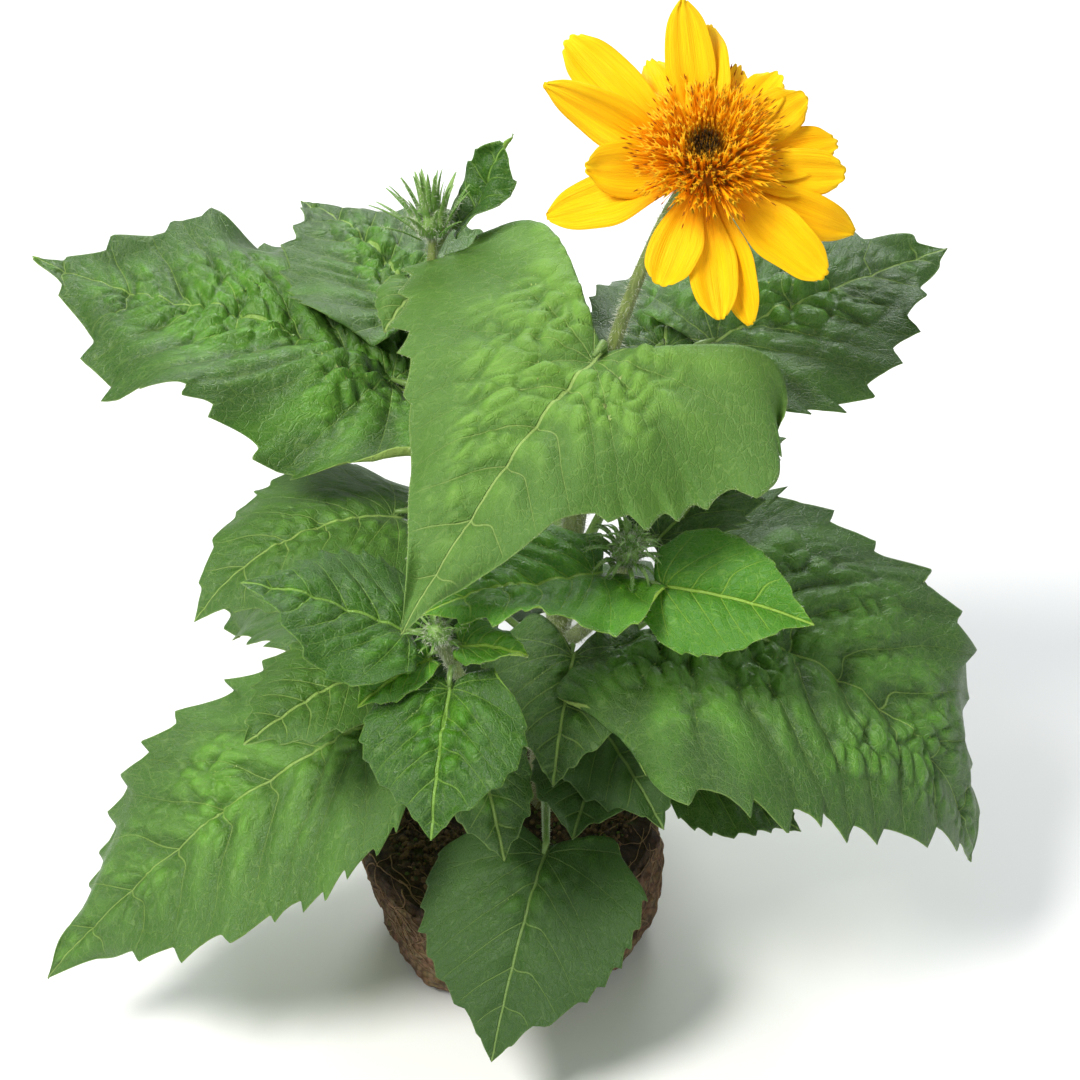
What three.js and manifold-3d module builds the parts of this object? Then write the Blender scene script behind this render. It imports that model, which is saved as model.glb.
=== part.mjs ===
// A dwarf sunflower plant standing on its bare root ball, in millimetres, +Z up.
// The origin is the centre of the ball's flat underside. One open bloom tops the main stem,
// side shoots carry buds, and every large leaf is one node: its stalk and its thin blade.
import * as THREE from 'three';
import { mergeVertices } from 'three/addons/utils/BufferGeometryUtils.js';
import Module from 'manifold-3d';

const wasm = await Module();
wasm.setup();

// ---- driving dimensions -------------------------------------------------------------------
const GAP = 0.3;                 // clearance between pieces that meet
const BALL_RIM_RADIUS = 60;      // the size of a 12 cm pot
const BALL_FLAT_RADIUS = 38;     // flat underside
const BALL_EDGE_ROUND = 22;      // rounding between underside and wall
const SOIL_HEIGHT = 52;          // top of the compost above the underside
const BLADE_THICKNESS = 1.5;     // a leaf blade with its relief
const STALK_SIDES = 5;
const LIMB_SIDES = 9;

const COLOUR = {
  compost: 0x4f3b2c,
  stem: 0x6f8440,
  matureLeaf: 0x4c8a38,
  lowLeaf: 0x3f6f2c,
  topLeaf: 0x5f8f42,
  youngLeaf: 0x5fae28,
  ray: 0xffc800,
  disc: 0xe08a08,
  bud: 0x76913f,
};

// ---- small helpers ------------------------------------------------------------------------
const radians = THREE.MathUtils.degToRad;

/** Unit direction from a heading (anticlockwise from +X) and a rise above the horizontal. */
function direction(heading, rise) {
  const flat = Math.cos(radians(rise));
  return new THREE.Vector3(
    flat * Math.cos(radians(heading)),
    flat * Math.sin(radians(heading)),
    Math.sin(radians(rise)),
  );
}

function finish(colour, roughness = 0.7) {
  return new THREE.MeshStandardMaterial({ color: colour, roughness, metalness: 0 });
}

function toSolid(geometry) {
  const bare = geometry.clone();
  bare.deleteAttribute('normal');
  bare.deleteAttribute('uv');
  const merged = mergeVertices(bare, 1e-4);
  return new wasm.Manifold(new wasm.Mesh({
    numProp: 3,
    vertProperties: new Float32Array(merged.attributes.position.array),
    triVerts: new Uint32Array(merged.index.array),
  }));
}

function toGeometry(solid) {
  const result = solid.getMesh();
  const geometry = new THREE.BufferGeometry();
  geometry.setAttribute('position', new THREE.BufferAttribute(new Float32Array(result.vertProperties), 3));
  geometry.setIndex(new THREE.BufferAttribute(new Uint32Array(result.triVerts), 1));
  geometry.computeVertexNormals();
  return geometry;
}

/** A closed skin over a stack of rings that all hold the same number of points. */
function loft(rings) {
  const sides = rings[0].length;
  const positions = rings.flat().flatMap((point) => point.toArray());
  const index = [];
  for (let row = 0; row + 1 < rings.length; row += 1) {
    for (let side = 0; side < sides; side += 1) {
      const next = (side + 1) % sides;
      const a = row * sides + side;
      const b = row * sides + next;
      index.push(a, b, b + sides, a, b + sides, a + sides);
    }
  }
  const last = (rings.length - 1) * sides;
  for (let side = 1; side + 1 < sides; side += 1) {
    index.push(0, side + 1, side);
    index.push(last, last + side, last + side + 1);
  }
  const geometry = new THREE.BufferGeometry();
  geometry.setAttribute('position', new THREE.Float32BufferAttribute(positions, 3));
  geometry.setIndex(index);
  return geometry;
}

/** A tapering limb along a curve; radiusAt(t) gives its radius from foot (0) to tip (1). */
function limb(curve, radiusAt, steps, sides = LIMB_SIDES, flatFoot = false) {
  const rings = [];
  for (let step = 0; step <= steps; step += 1) {
    const t = step / steps;
    const centre = curve.getPointAt(t);
    const along = flatFoot && step === 0 ? new THREE.Vector3(0, 0, 1) : curve.getTangentAt(t);
    const across = new THREE.Vector3(0, 1, 0).cross(along).normalize();
    const up = along.clone().cross(across);
    const ring = [];
    for (let side = 0; side < sides; side += 1) {
      const angle = (2 * Math.PI * side) / sides;
      ring.push(centre.clone()
        .addScaledVector(across, radiusAt(t) * Math.cos(angle))
        .addScaledVector(up, radiusAt(t) * Math.sin(angle)));
    }
    rings.push(ring);
  }
  return loft(rings);
}

// ---- root ball ----------------------------------------------------------------------------
function makeRootBall() {
  const wallFoot = BALL_FLAT_RADIUS + BALL_EDGE_ROUND * 0.82;
  const profile = [new THREE.Vector2(0, 0), new THREE.Vector2(BALL_FLAT_RADIUS, 0)];
  for (const angle of [30, 55, 80]) {
    profile.push(new THREE.Vector2(
      BALL_FLAT_RADIUS + (wallFoot - BALL_FLAT_RADIUS) * Math.sin(radians(angle)),
      BALL_EDGE_ROUND * (1 - Math.cos(radians(angle))),
    ));
  }
  profile.push(new THREE.Vector2(BALL_RIM_RADIUS, SOIL_HEIGHT - 4));
  profile.push(new THREE.Vector2(BALL_RIM_RADIUS - 3, SOIL_HEIGHT));
  profile.push(new THREE.Vector2(0, SOIL_HEIGHT));
  const geometry = new THREE.LatheGeometry(profile, 32);
  geometry.rotateX(Math.PI / 2);
  return geometry;
}

// ---- stem and shoots ----------------------------------------------------------------------
// Each limb is a curve through a few points, with its radius at foot and tip.
const STEM_TIP = new THREE.Vector3(82, -10, 339);
const LIMBS = {
  stem: {
    points: [[14, 10, SOIL_HEIGHT + GAP], [19, 8, 110], [30, 5, 180], [45, 3, 250], [64, 2, 302],
      [78, -3, 330], STEM_TIP.toArray()],
    foot: 5.5, tip: 2.3, steps: 16,
  },
  shoot_left: {
    parent: 'stem',
    points: [[23, 7, 140], [4, 20, 172], [-11, 32, 215], [-14, 42, 255], [-11, 47, 284]],
    foot: 3.2, tip: 2, steps: 9,
  },
  shoot_right: {
    parent: 'stem',
    points: [[22, 8, 128], [33, -7, 150], [43, -25, 174], [47, -33, 197]],
    foot: 3.2, tip: 2, steps: 7,
  },
  shoot_front: {
    parent: 'stem',
    points: [[16, 9, 84], [8, -14, 105], [-6, -46, 148], [-17, -66, 194]],
    foot: 3.2, tip: 1.8, steps: 8,
  },
};

const limbCurve = (name) => new THREE.CatmullRomCurve3(
  LIMBS[name].points.map((point) => new THREE.Vector3(...point)), false, 'centripetal',
);

function limbGeometry(name, grow = 0) {
  const { foot, tip, steps } = LIMBS[name];
  const radiusAt = (t) => THREE.MathUtils.lerp(foot, tip, t) + grow;
  return limb(limbCurve(name), radiusAt, steps, LIMB_SIDES, name === 'stem');
}

const limbSocket = Object.fromEntries(
  Object.keys(LIMBS).map((name) => [name, toSolid(limbGeometry(name, GAP))]),
);

function makeLimb(name) {
  const solid = toSolid(limbGeometry(name));
  const { parent } = LIMBS[name];
  return parent ? toGeometry(solid.subtract(limbSocket[parent])) : toGeometry(solid);
}

/** The point of a limb's curve at a height above the underside. */
function limbPointAtHeight(name, height) {
  const curve = limbCurve(name);
  let low = 0;
  let high = 1;
  for (let turn = 0; turn < 30; turn += 1) {
    const middle = (low + high) / 2;
    if (curve.getPointAt(middle).z < height) low = middle;
    else high = middle;
  }
  return curve.getPointAt(low);
}

// ---- leaves -------------------------------------------------------------------------------
// Headings are degrees anticlockwise from +X seen from above, rises are degrees above level.
// stalk: [length, heading, rise]; blade: [length, width, heading, pitch at its base];
// droop bends the midrib down towards the tip, sweep turns it sideways, roll tips the blade
// about its midrib, arch lets the margins sag, lobe is the heart base, and shoulder moves the
// widest place from the base (0) a quarter of the way along (1).
const LEAVES = [
  { name: 'leaf_top_front', limb: 'stem', at: 236, colour: 'topLeaf',
    stalk: [36, -72, 70], blade: [124, 128, -131, -14], droop: 22, roll: -14, arch: 8, lobe: 18,
    shoulder: -0.4 },
  { name: 'leaf_left_upper', limb: 'shoot_left', at: 226, colour: 'matureLeaf',
    stalk: [12, 175, 30], blade: [150, 108, 160, 19], droop: 10, roll: -9, arch: 4 },
  { name: 'leaf_left_back', limb: 'shoot_left', at: 244, colour: 'matureLeaf',
    stalk: [14, 110, 30], blade: [86, 82, 122, 18], droop: 14, sweep: 30, roll: 6, arch: 2 },
  { name: 'leaf_right_upper', limb: 'stem', at: 226, colour: 'matureLeaf',
    stalk: [50, 18, 31], blade: [100, 90, 22, 12], droop: 12, roll: 18, arch: 6 },
  { name: 'leaf_back_top', limb: 'stem', at: 236, colour: 'matureLeaf',
    stalk: [36, 42, 18], blade: [86, 62, 80, 6], droop: 18, roll: 0, arch: 4 },
  { name: 'leaf_right_low', limb: 'stem', at: 104, colour: 'matureLeaf',
    stalk: [78, -30, 50], blade: [170, 134, -18, 2], droop: 86, roll: 14, arch: 4 },
  { name: 'leaf_shoot_right', limb: 'shoot_right', at: 188, colour: 'youngLeaf',
    stalk: [18, -52, 22], blade: [58, 46, -22, 6], droop: 24, roll: 34, arch: 2, lobe: 1 },
  { name: 'leaf_shoot_centre', limb: 'shoot_right', at: 189, colour: 'youngLeaf',
    stalk: [12, -135, 62], blade: [74, 56, -150, 16], droop: 14, roll: -8, arch: 3, lobe: 5 },
  { name: 'leaf_shoot_back', limb: 'shoot_right', at: 184, colour: 'matureLeaf',
    stalk: [20, 22, 50], blade: [64, 44, 36, 22], droop: 16, roll: 8, arch: 3, lobe: 4 },
  { name: 'leaf_front_left', limb: 'shoot_front', at: 188, colour: 'youngLeaf',
    stalk: [11, 165, 35], blade: [62, 54, 172, 34], droop: 28, roll: -14, arch: 4, lobe: 4 },
  { name: 'leaf_left_middle', limb: 'stem', at: 150, colour: 'matureLeaf',
    stalk: [70, 178, 42], blade: [94, 76, -158, 26], droop: 78, roll: -8, arch: 8 },
  { name: 'leaf_left_inner', limb: 'shoot_front', at: 140, colour: 'matureLeaf',
    stalk: [50, 178, 28], blade: [50, 48, -142, 6], droop: 20, roll: -10, arch: 3, lobe: 6 },
  { name: 'leaf_front_young', limb: 'shoot_front', at: 178, colour: 'youngLeaf',
    stalk: [12, -95, 16], blade: [56, 56, -104, -26], droop: 30, roll: 0, arch: 4, lobe: 5 },
  { name: 'leaf_left_low', limb: 'stem', at: 96, colour: 'matureLeaf',
    stalk: [80, -150, 28], blade: [168, 98, -168, -21], droop: 26, roll: -24, arch: 5 },
  { name: 'leaf_front_low', limb: 'stem', at: 74, colour: 'lowLeaf',
    stalk: [62, -92, 12], blade: [82, 84, -114, -26], droop: 26, roll: 0, arch: 5, lobe: 8 },
  { name: 'leaf_front_hanging', limb: 'shoot_front', at: 126, colour: 'matureLeaf',
    stalk: [14, -130, 10], blade: [44, 34, -76, -40], droop: 18, roll: 0, arch: 2, lobe: 3 },
  { name: 'leaf_front_right', limb: 'stem', at: 92, colour: 'lowLeaf',
    stalk: [46, -62, 26], blade: [40, 46, -112, -8], droop: 24, roll: 0, arch: 3, lobe: 5 },
  { name: 'leaf_centre', limb: 'stem', at: 122, colour: 'matureLeaf',
    stalk: [46, -76, 46], blade: [54, 52, -104, -16], droop: 30, roll: 0, arch: 3, lobe: 5 },
  { name: 'leaf_bud_front', limb: 'shoot_front', at: 186, colour: 'youngLeaf',
    stalk: [5, -170, 8], blade: [32, 22, -158, -6], droop: 30, roll: -16, arch: 1, lobe: 1 },
  { name: 'leaf_bud_side', limb: 'shoot_front', at: 189, colour: 'youngLeaf',
    stalk: [6, -20, 36], blade: [26, 22, -8, 10], droop: 40, roll: 10, arch: 1, lobe: 1 },
  { name: 'leaf_inner_left', limb: 'stem', at: 112, colour: 'lowLeaf',
    stalk: [30, 176, 48], blade: [56, 52, -168, 8], droop: 24, roll: -6, arch: 3, lobe: 5 },
  { name: 'leaf_inner_right', limb: 'stem', at: 98, colour: 'lowLeaf',
    stalk: [40, -62, 42], blade: [58, 50, -62, -12], droop: 24, roll: 8, arch: 3, lobe: 5 },
  { name: 'leaf_right_under', limb: 'stem', at: 76, colour: 'matureLeaf',
    stalk: [52, -14, 2], blade: [54, 44, -20, -10], droop: 28, roll: 10, arch: 3, lobe: 5 },
  { name: 'leaf_left_dark', limb: 'stem', at: 126, colour: 'lowLeaf',
    stalk: [56, 162, 40], blade: [66, 60, 140, 14], droop: 24, roll: -8, arch: 4 },
  { name: 'leaf_bud_curled', limb: 'shoot_left', at: 270, colour: 'topLeaf',
    stalk: [9, -110, 20], blade: [27, 28, -128, 12], droop: 60, roll: 0, arch: 2, lobe: 2 },
  { name: 'leaf_bud_top', limb: 'shoot_left', at: 276, colour: 'topLeaf',
    stalk: [14, 55, 30], blade: [40, 26, 20, 52], droop: 4, roll: 0, arch: 1, lobe: 1 },
  { name: 'leaf_back_right', limb: 'stem', at: 156, colour: 'matureLeaf',
    stalk: [60, 56, 28], blade: [96, 90, 64, 4], droop: 36, roll: 0, arch: 6 },
  { name: 'leaf_back_middle', limb: 'stem', at: 168, colour: 'matureLeaf',
    stalk: [60, 96, 26], blade: [122, 104, 98, 4], droop: 38, roll: 0, arch: 6 },
  { name: 'leaf_back_left', limb: 'stem', at: 110, colour: 'matureLeaf',
    stalk: [62, 142, 20], blade: [118, 98, 146, 0], droop: 36, roll: 0, arch: 6 },
  { name: 'leaf_back_low', limb: 'stem', at: 90, colour: 'lowLeaf',
    stalk: [62, 78, 14], blade: [84, 78, 80, -6], droop: 34, roll: 0, arch: 5 },
  { name: 'leaf_side_low', limb: 'stem', at: 98, colour: 'lowLeaf',
    stalk: [60, 18, 20], blade: [98, 84, 20, -2], droop: 44, roll: 0, arch: 5 },
];

const BLADE_STATIONS = [0, 0.1, 0.25, 0.42, 0.6, 0.78, 0.91, 1];
const BLADE_ACROSS = [-1, -0.5, 0, 0.5, 1];
const TIP_STATION = 0.985;       // the blade stops here, just before it would have no width
const STALK_TAPER = 0.6;         // a stalk's tip radius over its foot radius

/** A broad blade has a thick stalk. */
const stalkRadius = (leaf) => THREE.MathUtils.clamp(leaf.blade[1] / 38, 1.2, 2.4);

/** Half-width of a heart-shaped blade along its midrib, about 1 at its widest. */
function bladeOutline(u, shoulder) {
  const foot = 1 - 0.2 * shoulder;
  return (1 - u) ** 1.1 * (foot + (0.85 + 1.35 * shoulder) * u);
}

/** The blade's base: the stalk's far end. */
function stalkCurve(leaf) {
  const foot = limbPointAtHeight(leaf.limb, leaf.at);
  const [length, heading, rise] = leaf.stalk;
  const tip = foot.clone().addScaledVector(direction(heading, rise), length);
  const middle = foot.clone().lerp(tip, 0.5);
  middle.z += length * 0.06;
  return new THREE.QuadraticBezierCurve3(foot, middle, tip);
}

/** Where a place on the blade lies: u runs from base to tip and v across, -1 to 1. */
function bladePoint(leaf, base, u, v) {
  const [length, width, heading, pitch] = leaf.blade;
  const { droop = 0, sweep = 0, roll = 0, arch = 0, lobe = 10, shoulder = 1 } = leaf;
  const along = u * length - lobe * Math.abs(v) ** 1.6 * (1 - u) ** 2;
  const steps = 12;
  const point = base.clone();
  for (let step = 0; step < steps; step += 1) {
    const share = Math.max(0, (along / length) * ((step + 0.5) / steps));
    point.addScaledVector(direction(heading + sweep * (share - 0.5), pitch - droop * share), along / steps);
  }
  const share = Math.max(0, along / length);
  const tangent = direction(heading + sweep * (share - 0.5), pitch - droop * share);
  const level = new THREE.Vector3(0, 0, 1).cross(tangent).normalize();
  const side = level.applyAxisAngle(tangent, radians(roll));
  const up = tangent.clone().cross(side);
  const breadth = bladeOutline(u, shoulder);
  return point.addScaledVector(side, (width / 2) * breadth * v)
    .addScaledVector(up, -arch * v * v * breadth);
}

function bladeGeometry(leaf, base) {
  const rows = BLADE_STATIONS.length;
  const columns = BLADE_ACROSS.length;
  const nudge = 0.01;
  const skins = [1, -1].map((face) => BLADE_STATIONS.map((station) => BLADE_ACROSS.map((v) => {
    const u = Math.min(station, TIP_STATION);
    const point = bladePoint(leaf, base, u, v);
    const alongStep = bladePoint(leaf, base, u + nudge, v).sub(point);
    const acrossStep = bladePoint(leaf, base, u, v + nudge).sub(point);
    const normal = alongStep.cross(acrossStep).normalize();
    return point.addScaledVector(normal, (face * BLADE_THICKNESS) / 2);
  })));
  const positions = skins.flat(2).flatMap((point) => point.toArray());
  const at = (skin, row, column) => skin * rows * columns + row * columns + column;
  const index = [];
  for (let row = 0; row + 1 < rows; row += 1) {
    for (let column = 0; column + 1 < columns; column += 1) {
      const corners = [[row, column], [row + 1, column], [row + 1, column + 1], [row, column + 1]];
      const [a, b, c, d] = corners.map(([r, k]) => at(0, r, k));
      const [e, f, g, h] = corners.map(([r, k]) => at(1, r, k));
      index.push(a, b, c, a, c, d, e, g, f, e, h, g);
    }
  }
  const rim = [];
  for (let column = 0; column < columns; column += 1) rim.push([0, column]);
  for (let row = 1; row < rows; row += 1) rim.push([row, columns - 1]);
  for (let column = columns - 2; column >= 0; column -= 1) rim.push([rows - 1, column]);
  for (let row = rows - 2; row > 0; row -= 1) rim.push([row, 0]);
  rim.forEach(([row, column], place) => {
    const [nextRow, nextColumn] = rim[(place + 1) % rim.length];
    const top = at(0, row, column);
    const nextTop = at(0, nextRow, nextColumn);
    const under = at(1, row, column);
    const nextUnder = at(1, nextRow, nextColumn);
    index.push(top, nextTop, nextUnder, top, nextUnder, under);
  });
  const geometry = new THREE.BufferGeometry();
  geometry.setAttribute('position', new THREE.Float32BufferAttribute(positions, 3));
  geometry.setIndex(index);
  return geometry;
}

function makeLeaf(leaf) {
  const stalk = stalkCurve(leaf);
  const radiusAt = (t) => stalkRadius(leaf) * THREE.MathUtils.lerp(1, STALK_TAPER, t);
  const base = stalk.getPoint(1);
  const stalkSolid = toSolid(limb(stalk, radiusAt, 4, STALK_SIDES)).subtract(limbSocket[leaf.limb]);
  const blade = toSolid(bladeGeometry(leaf, base));
  return toGeometry(blade.add(stalkSolid));
}

// ---- flower head --------------------------------------------------------------------------
// Made facing +Z about its own centre, then turned to its heading.
const HEAD_HEADING = -95;
const HEAD_RISE = 28;
const HEAD_DEPTH = 14;           // from the stem's tip to the plane of the rays
const HEAD_SEAT = 1.8;           // keeps the calyx clear of the stem's slanting end
const CALYX_RADIUS = 13;
const DISC_RADIUS = 24;
const RAY_RING_RADIUS = 9;       // the flat ring that joins the rays behind the disc
const RAY_RING_THICKNESS = 3;
const RAY_ROOT_RADIUS = 5;       // where a ray starts, inside the ring
const RAY_THICKNESS = 1.2;
// Each ray: clock angle (0 up, clockwise as seen facing the bloom), length from the centre,
// width, and how far its tip stands forward (+) or back (-).
const RAYS = [
  [352, 46, 16, 3], [2, 38, 14, -6], [42, 31, 16, -4], [58, 35, 17, 0], [92, 40, 17, -7],
  [106, 43, 17, -1], [124, 53, 17, -8], [138, 55, 19, 1], [167, 58, 17, 2], [179, 54, 17, 6],
  [200, 46, 19, 8], [250, 56, 19, 0], [260, 40, 21, 11], [292, 56, 22, 4], [308, 56, 19, -4],
  [327, 34, 15, -8],
];

function rayGeometry([clock, length, width, forward]) {
  const angle = radians(90 - clock);
  const outward = new THREE.Vector3(Math.cos(angle), Math.sin(angle), 0);
  const across = new THREE.Vector3(-outward.y, outward.x, 0);
  const rings = [0, 0.35, 0.7, 0.92, 1].map((share) => {
    const reach = THREE.MathUtils.lerp(RAY_ROOT_RADIUS, length, share);
    const half = (width / 2) * Math.max(0.12, Math.sin(Math.PI * (0.16 + 0.8 * share)));
    const height = forward * share * share;
    const corner = (side, face) => outward.clone().multiplyScalar(reach)
      .addScaledVector(across, side * half)
      .add(new THREE.Vector3(0, 0, height + (face * RAY_THICKNESS) / 2));
    return [corner(-1, -1), corner(1, -1), corner(1, 1), corner(-1, 1)];
  });
  return loft(rings);
}

function makeRays() {
  const ring = new THREE.CylinderGeometry(RAY_RING_RADIUS, RAY_RING_RADIUS, RAY_RING_THICKNESS, 20);
  ring.rotateX(Math.PI / 2);
  return toGeometry(RAYS.reduce((whole, ray) => whole.add(toSolid(rayGeometry(ray))), toSolid(ring)));
}

function makeDisc(raysSolid) {
  const back = RAY_RING_THICKNESS / 2 + GAP;
  const profile = [new THREE.Vector2(0, back)];
  for (const [share, height] of [[0.72, 3], [1, 8], [0.92, 13], [0.55, 11.5], [0.22, 9]]) {
    profile.push(new THREE.Vector2(DISC_RADIUS * share, height));
  }
  profile.push(new THREE.Vector2(0, 8.5));
  const geometry = new THREE.LatheGeometry(profile, 24);
  geometry.rotateX(Math.PI / 2);
  return toGeometry(toSolid(geometry).subtract(raysSolid));
}

function makeCalyx() {
  const foot = -HEAD_DEPTH + HEAD_SEAT;
  const face = -RAY_RING_THICKNESS / 2 - GAP;
  const profile = [[0, foot], [0.26, foot], [0.8, -9.5], [1, -6], [0.75, face], [0, face]]
    .map(([share, height]) => new THREE.Vector2(CALYX_RADIUS * share, height));
  const geometry = new THREE.LatheGeometry(profile, 20);
  geometry.rotateX(Math.PI / 2);
  return geometry;
}

function makeFlowerHead() {
  const head = new THREE.Group();
  const facing = direction(HEAD_HEADING, HEAD_RISE);
  const right = new THREE.Vector3(0, 0, 1).cross(facing).normalize();
  const up = facing.clone().cross(right);
  head.quaternion.setFromRotationMatrix(new THREE.Matrix4().makeBasis(right, up, facing));
  head.position.copy(STEM_TIP).addScaledVector(facing, HEAD_DEPTH);
  const rays = makeRays();
  head.add(named('flower_calyx', makeCalyx(), finish(COLOUR.bud)));
  head.add(named('flower_rays', rays, finish(COLOUR.ray, 0.5)));
  head.add(named('flower_disc', makeDisc(toSolid(rays)), finish(COLOUR.disc)));
  return head;
}

// ---- buds ---------------------------------------------------------------------------------
// Each bud sits on a limb's tip: body radius, height, and the heading and rise it points to.
const BUDS = [
  { name: 'bud_left', limb: 'shoot_left', radius: 8, height: 22, heading: 100, rise: 80 },
  { name: 'bud_right', limb: 'shoot_right', radius: 7.5, height: 18, heading: -30, rise: 72 },
  { name: 'bud_front', limb: 'shoot_front', radius: 6, height: 12, heading: -100, rise: 70 },
];

function makeBud(bud) {
  const profile = [new THREE.Vector2(0, GAP)];
  for (const [share, height] of [[0.35, 0.02], [0.9, 0.2], [1, 0.42], [0.8, 0.7], [0.42, 0.92]]) {
    profile.push(new THREE.Vector2(bud.radius * share, GAP + bud.height * height));
  }
  profile.push(new THREE.Vector2(0, GAP + bud.height));
  const geometry = new THREE.LatheGeometry(profile, 12);
  geometry.rotateX(Math.PI / 2);
  const axis = direction(bud.heading, bud.rise);
  geometry.applyQuaternion(new THREE.Quaternion().setFromUnitVectors(new THREE.Vector3(0, 0, 1), axis));
  const tip = limbCurve(bud.limb).getPointAt(1);
  geometry.translate(tip.x, tip.y, tip.z);
  return toGeometry(toSolid(geometry).subtract(limbSocket[bud.limb]));
}

// ---- assembly -----------------------------------------------------------------------------
function named(name, geometry, material) {
  const mesh = new THREE.Mesh(geometry, material);
  mesh.name = name;
  return mesh;
}

const plant = new THREE.Group();
plant.add(named('root_ball', makeRootBall(), finish(COLOUR.compost, 0.95)));
for (const name of Object.keys(LIMBS)) {
  plant.add(named(name, makeLimb(name), finish(COLOUR.stem)));
}
for (const leaf of LEAVES) {
  plant.add(named(leaf.name, makeLeaf(leaf), finish(COLOUR[leaf.colour], 0.6)));
}
for (const bud of BUDS) {
  plant.add(named(bud.name, makeBud(bud), finish(COLOUR.bud)));
}
plant.add(makeFlowerHead());

export default plant;
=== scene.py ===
"""A dwarf sunflower plant standing on its bare root ball.

The script is laid out as a Blender add-on. Every operator builds one piece, or one group of
like pieces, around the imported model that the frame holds, and main() runs them in order.
Sizes are millimetres where they describe the plant and metres in the finished meshes.
"""

import math
from dataclasses import dataclass

import bpy
import numpy as np
from mathutils import Matrix, Vector


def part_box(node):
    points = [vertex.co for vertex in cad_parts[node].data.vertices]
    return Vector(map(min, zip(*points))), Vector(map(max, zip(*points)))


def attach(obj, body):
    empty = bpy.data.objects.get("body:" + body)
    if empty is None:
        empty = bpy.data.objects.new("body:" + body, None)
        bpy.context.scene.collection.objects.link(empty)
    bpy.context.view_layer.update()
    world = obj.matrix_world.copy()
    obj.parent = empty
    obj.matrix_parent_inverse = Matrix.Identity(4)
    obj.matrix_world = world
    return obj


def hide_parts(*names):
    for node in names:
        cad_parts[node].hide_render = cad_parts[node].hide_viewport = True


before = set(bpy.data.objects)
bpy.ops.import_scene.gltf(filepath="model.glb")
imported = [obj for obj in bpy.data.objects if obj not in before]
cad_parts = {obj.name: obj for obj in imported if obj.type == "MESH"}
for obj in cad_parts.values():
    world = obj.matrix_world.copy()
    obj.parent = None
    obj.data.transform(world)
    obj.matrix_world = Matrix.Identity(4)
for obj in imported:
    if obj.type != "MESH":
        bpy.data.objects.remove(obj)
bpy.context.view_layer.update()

bl_info = {
    "name": "Dwarf sunflower plant",
    "version": (1, 0, 0),
    "blender": (4, 5, 0),
    "location": "View3D > Sidebar > Sunflower",
    "description": "Builds a dwarf sunflower plant around its packed frame",
    "category": "Object",
}

MM = 0.001
BODY = "root"


# ---- colours ------------------------------------------------------------------------------
RIB_BELOW = "c3d6a0"
STALK_GREENS = ("7c9a52", "5d7d3a")
STEM_GREENS = ("73853c", "50612a")
STEM_STREAK, STEM_FOOT = "9aa866", "6e5a3a"
RAY_YELLOW, RAY_FOOT, RAY_VEIN, RAY_TIP = "ffc400", "f09400", "eda000", "ffe21c"
FLORET_FOOT, FLORET_TIP, FLORET_ODD = "f4a200", "ffc61a", "ffb000"
MIDDLE_FOOT, MIDDLE_TIP = "5b4a1c", "33210d"
STYLE_THREAD, STYLE_KNOB = "ffb416", "9a5210"
COMPOST_BROWNS = ("6b513b", "9c8262")
# The darkest compost brown is painted shade for the crevices between crumbs.
COMPOST_CREVICE_SHADE, COMPOST_TOP, COMPOST_MOSS = "1d130d", "1c1613", "3d4a1c"
# Each plain finish: its name, its two colours, the size of its patches in metres, its roughness.
PLAIN_FINISHES = {
    "hair": ("Stem hair", "dfe3cf", "c9d2b4", 0.01, 0.45),
    "bract": ("Bract", "5f8a36", "86a858", 0.006, 0.5),
    "root": ("Root fibre", "86694a", "5d4632", 0.008, 0.8),
    "crumb": ("Compost crumb", "2a1d15", "6b5138", 0.004, 0.95),
    "moss": ("Moss", "47561f", "2f3a17", 0.004, 0.9),
}


def colour(code):
    """Linear red, green, blue and alpha from a six-figure colour code."""
    channels = [int(code[place:place + 2], 16) / 255 for place in (0, 2, 4)]
    return tuple(c / 12.92 if c <= 0.04045 else ((c + 0.055) / 1.055) ** 2.4 for c in channels) + (1.0,)


# ---- repeatable noise ---------------------------------------------------------------------
def lattice_value(cell, seed):
    """A fixed pseudo-random number from 0 to 1 for each row of whole-number coordinates."""
    mix = np.array([127.1, 311.7, 74.7, 269.5])[: cell.shape[-1]]
    value = np.sin(cell @ mix + seed * 17.13) * 43758.5453
    return value - np.floor(value)


def smooth_noise(places, seed=0.0):
    """Smooth noise from -1 to 1 at rows of two or three coordinates."""
    corner = np.floor(places)
    part = places - corner
    blend = part * part * (3 - 2 * part)
    axes = places.shape[-1]
    total = np.zeros(places.shape[:-1])
    for code in range(2 ** axes):
        step = np.array([(code >> axis) & 1 for axis in range(axes)], float)
        weight = np.prod(np.where(step > 0, blend, 1 - blend), axis=-1)
        total += weight * lattice_value(corner + step, seed)
    return 2 * total - 1


def layered_noise(places, layers, seed=0.0):
    """Smooth noise summed over octaves, each half as strong and twice as fine."""
    total = np.zeros(places.shape[:-1])
    for layer in range(layers):
        total += smooth_noise(places * 2 ** layer, seed + layer) / 2 ** layer
    return total


def cell_edges(places, seed=0.0):
    """How far each place of a plane is from the edge of its own irregular cell, 0 to about 1."""
    corner = np.floor(places)
    near = np.full(places.shape[:-1], 9.0)
    second = near.copy()
    for across in (-1, 0, 1):
        for along in (-1, 0, 1):
            cell = corner + np.array([across, along], float)
            seat = cell + np.stack([lattice_value(cell, seed), lattice_value(cell, seed + 5)], -1)
            reach = np.linalg.norm(places - seat, axis=-1)
            second = np.minimum(second, np.maximum(near, reach))
            near = np.minimum(near, reach)
    return second - near


def smooth_step(low, high, value):
    part = np.clip((value - low) / (high - low), 0, 1)
    return part * part * (3 - 2 * part)


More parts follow.
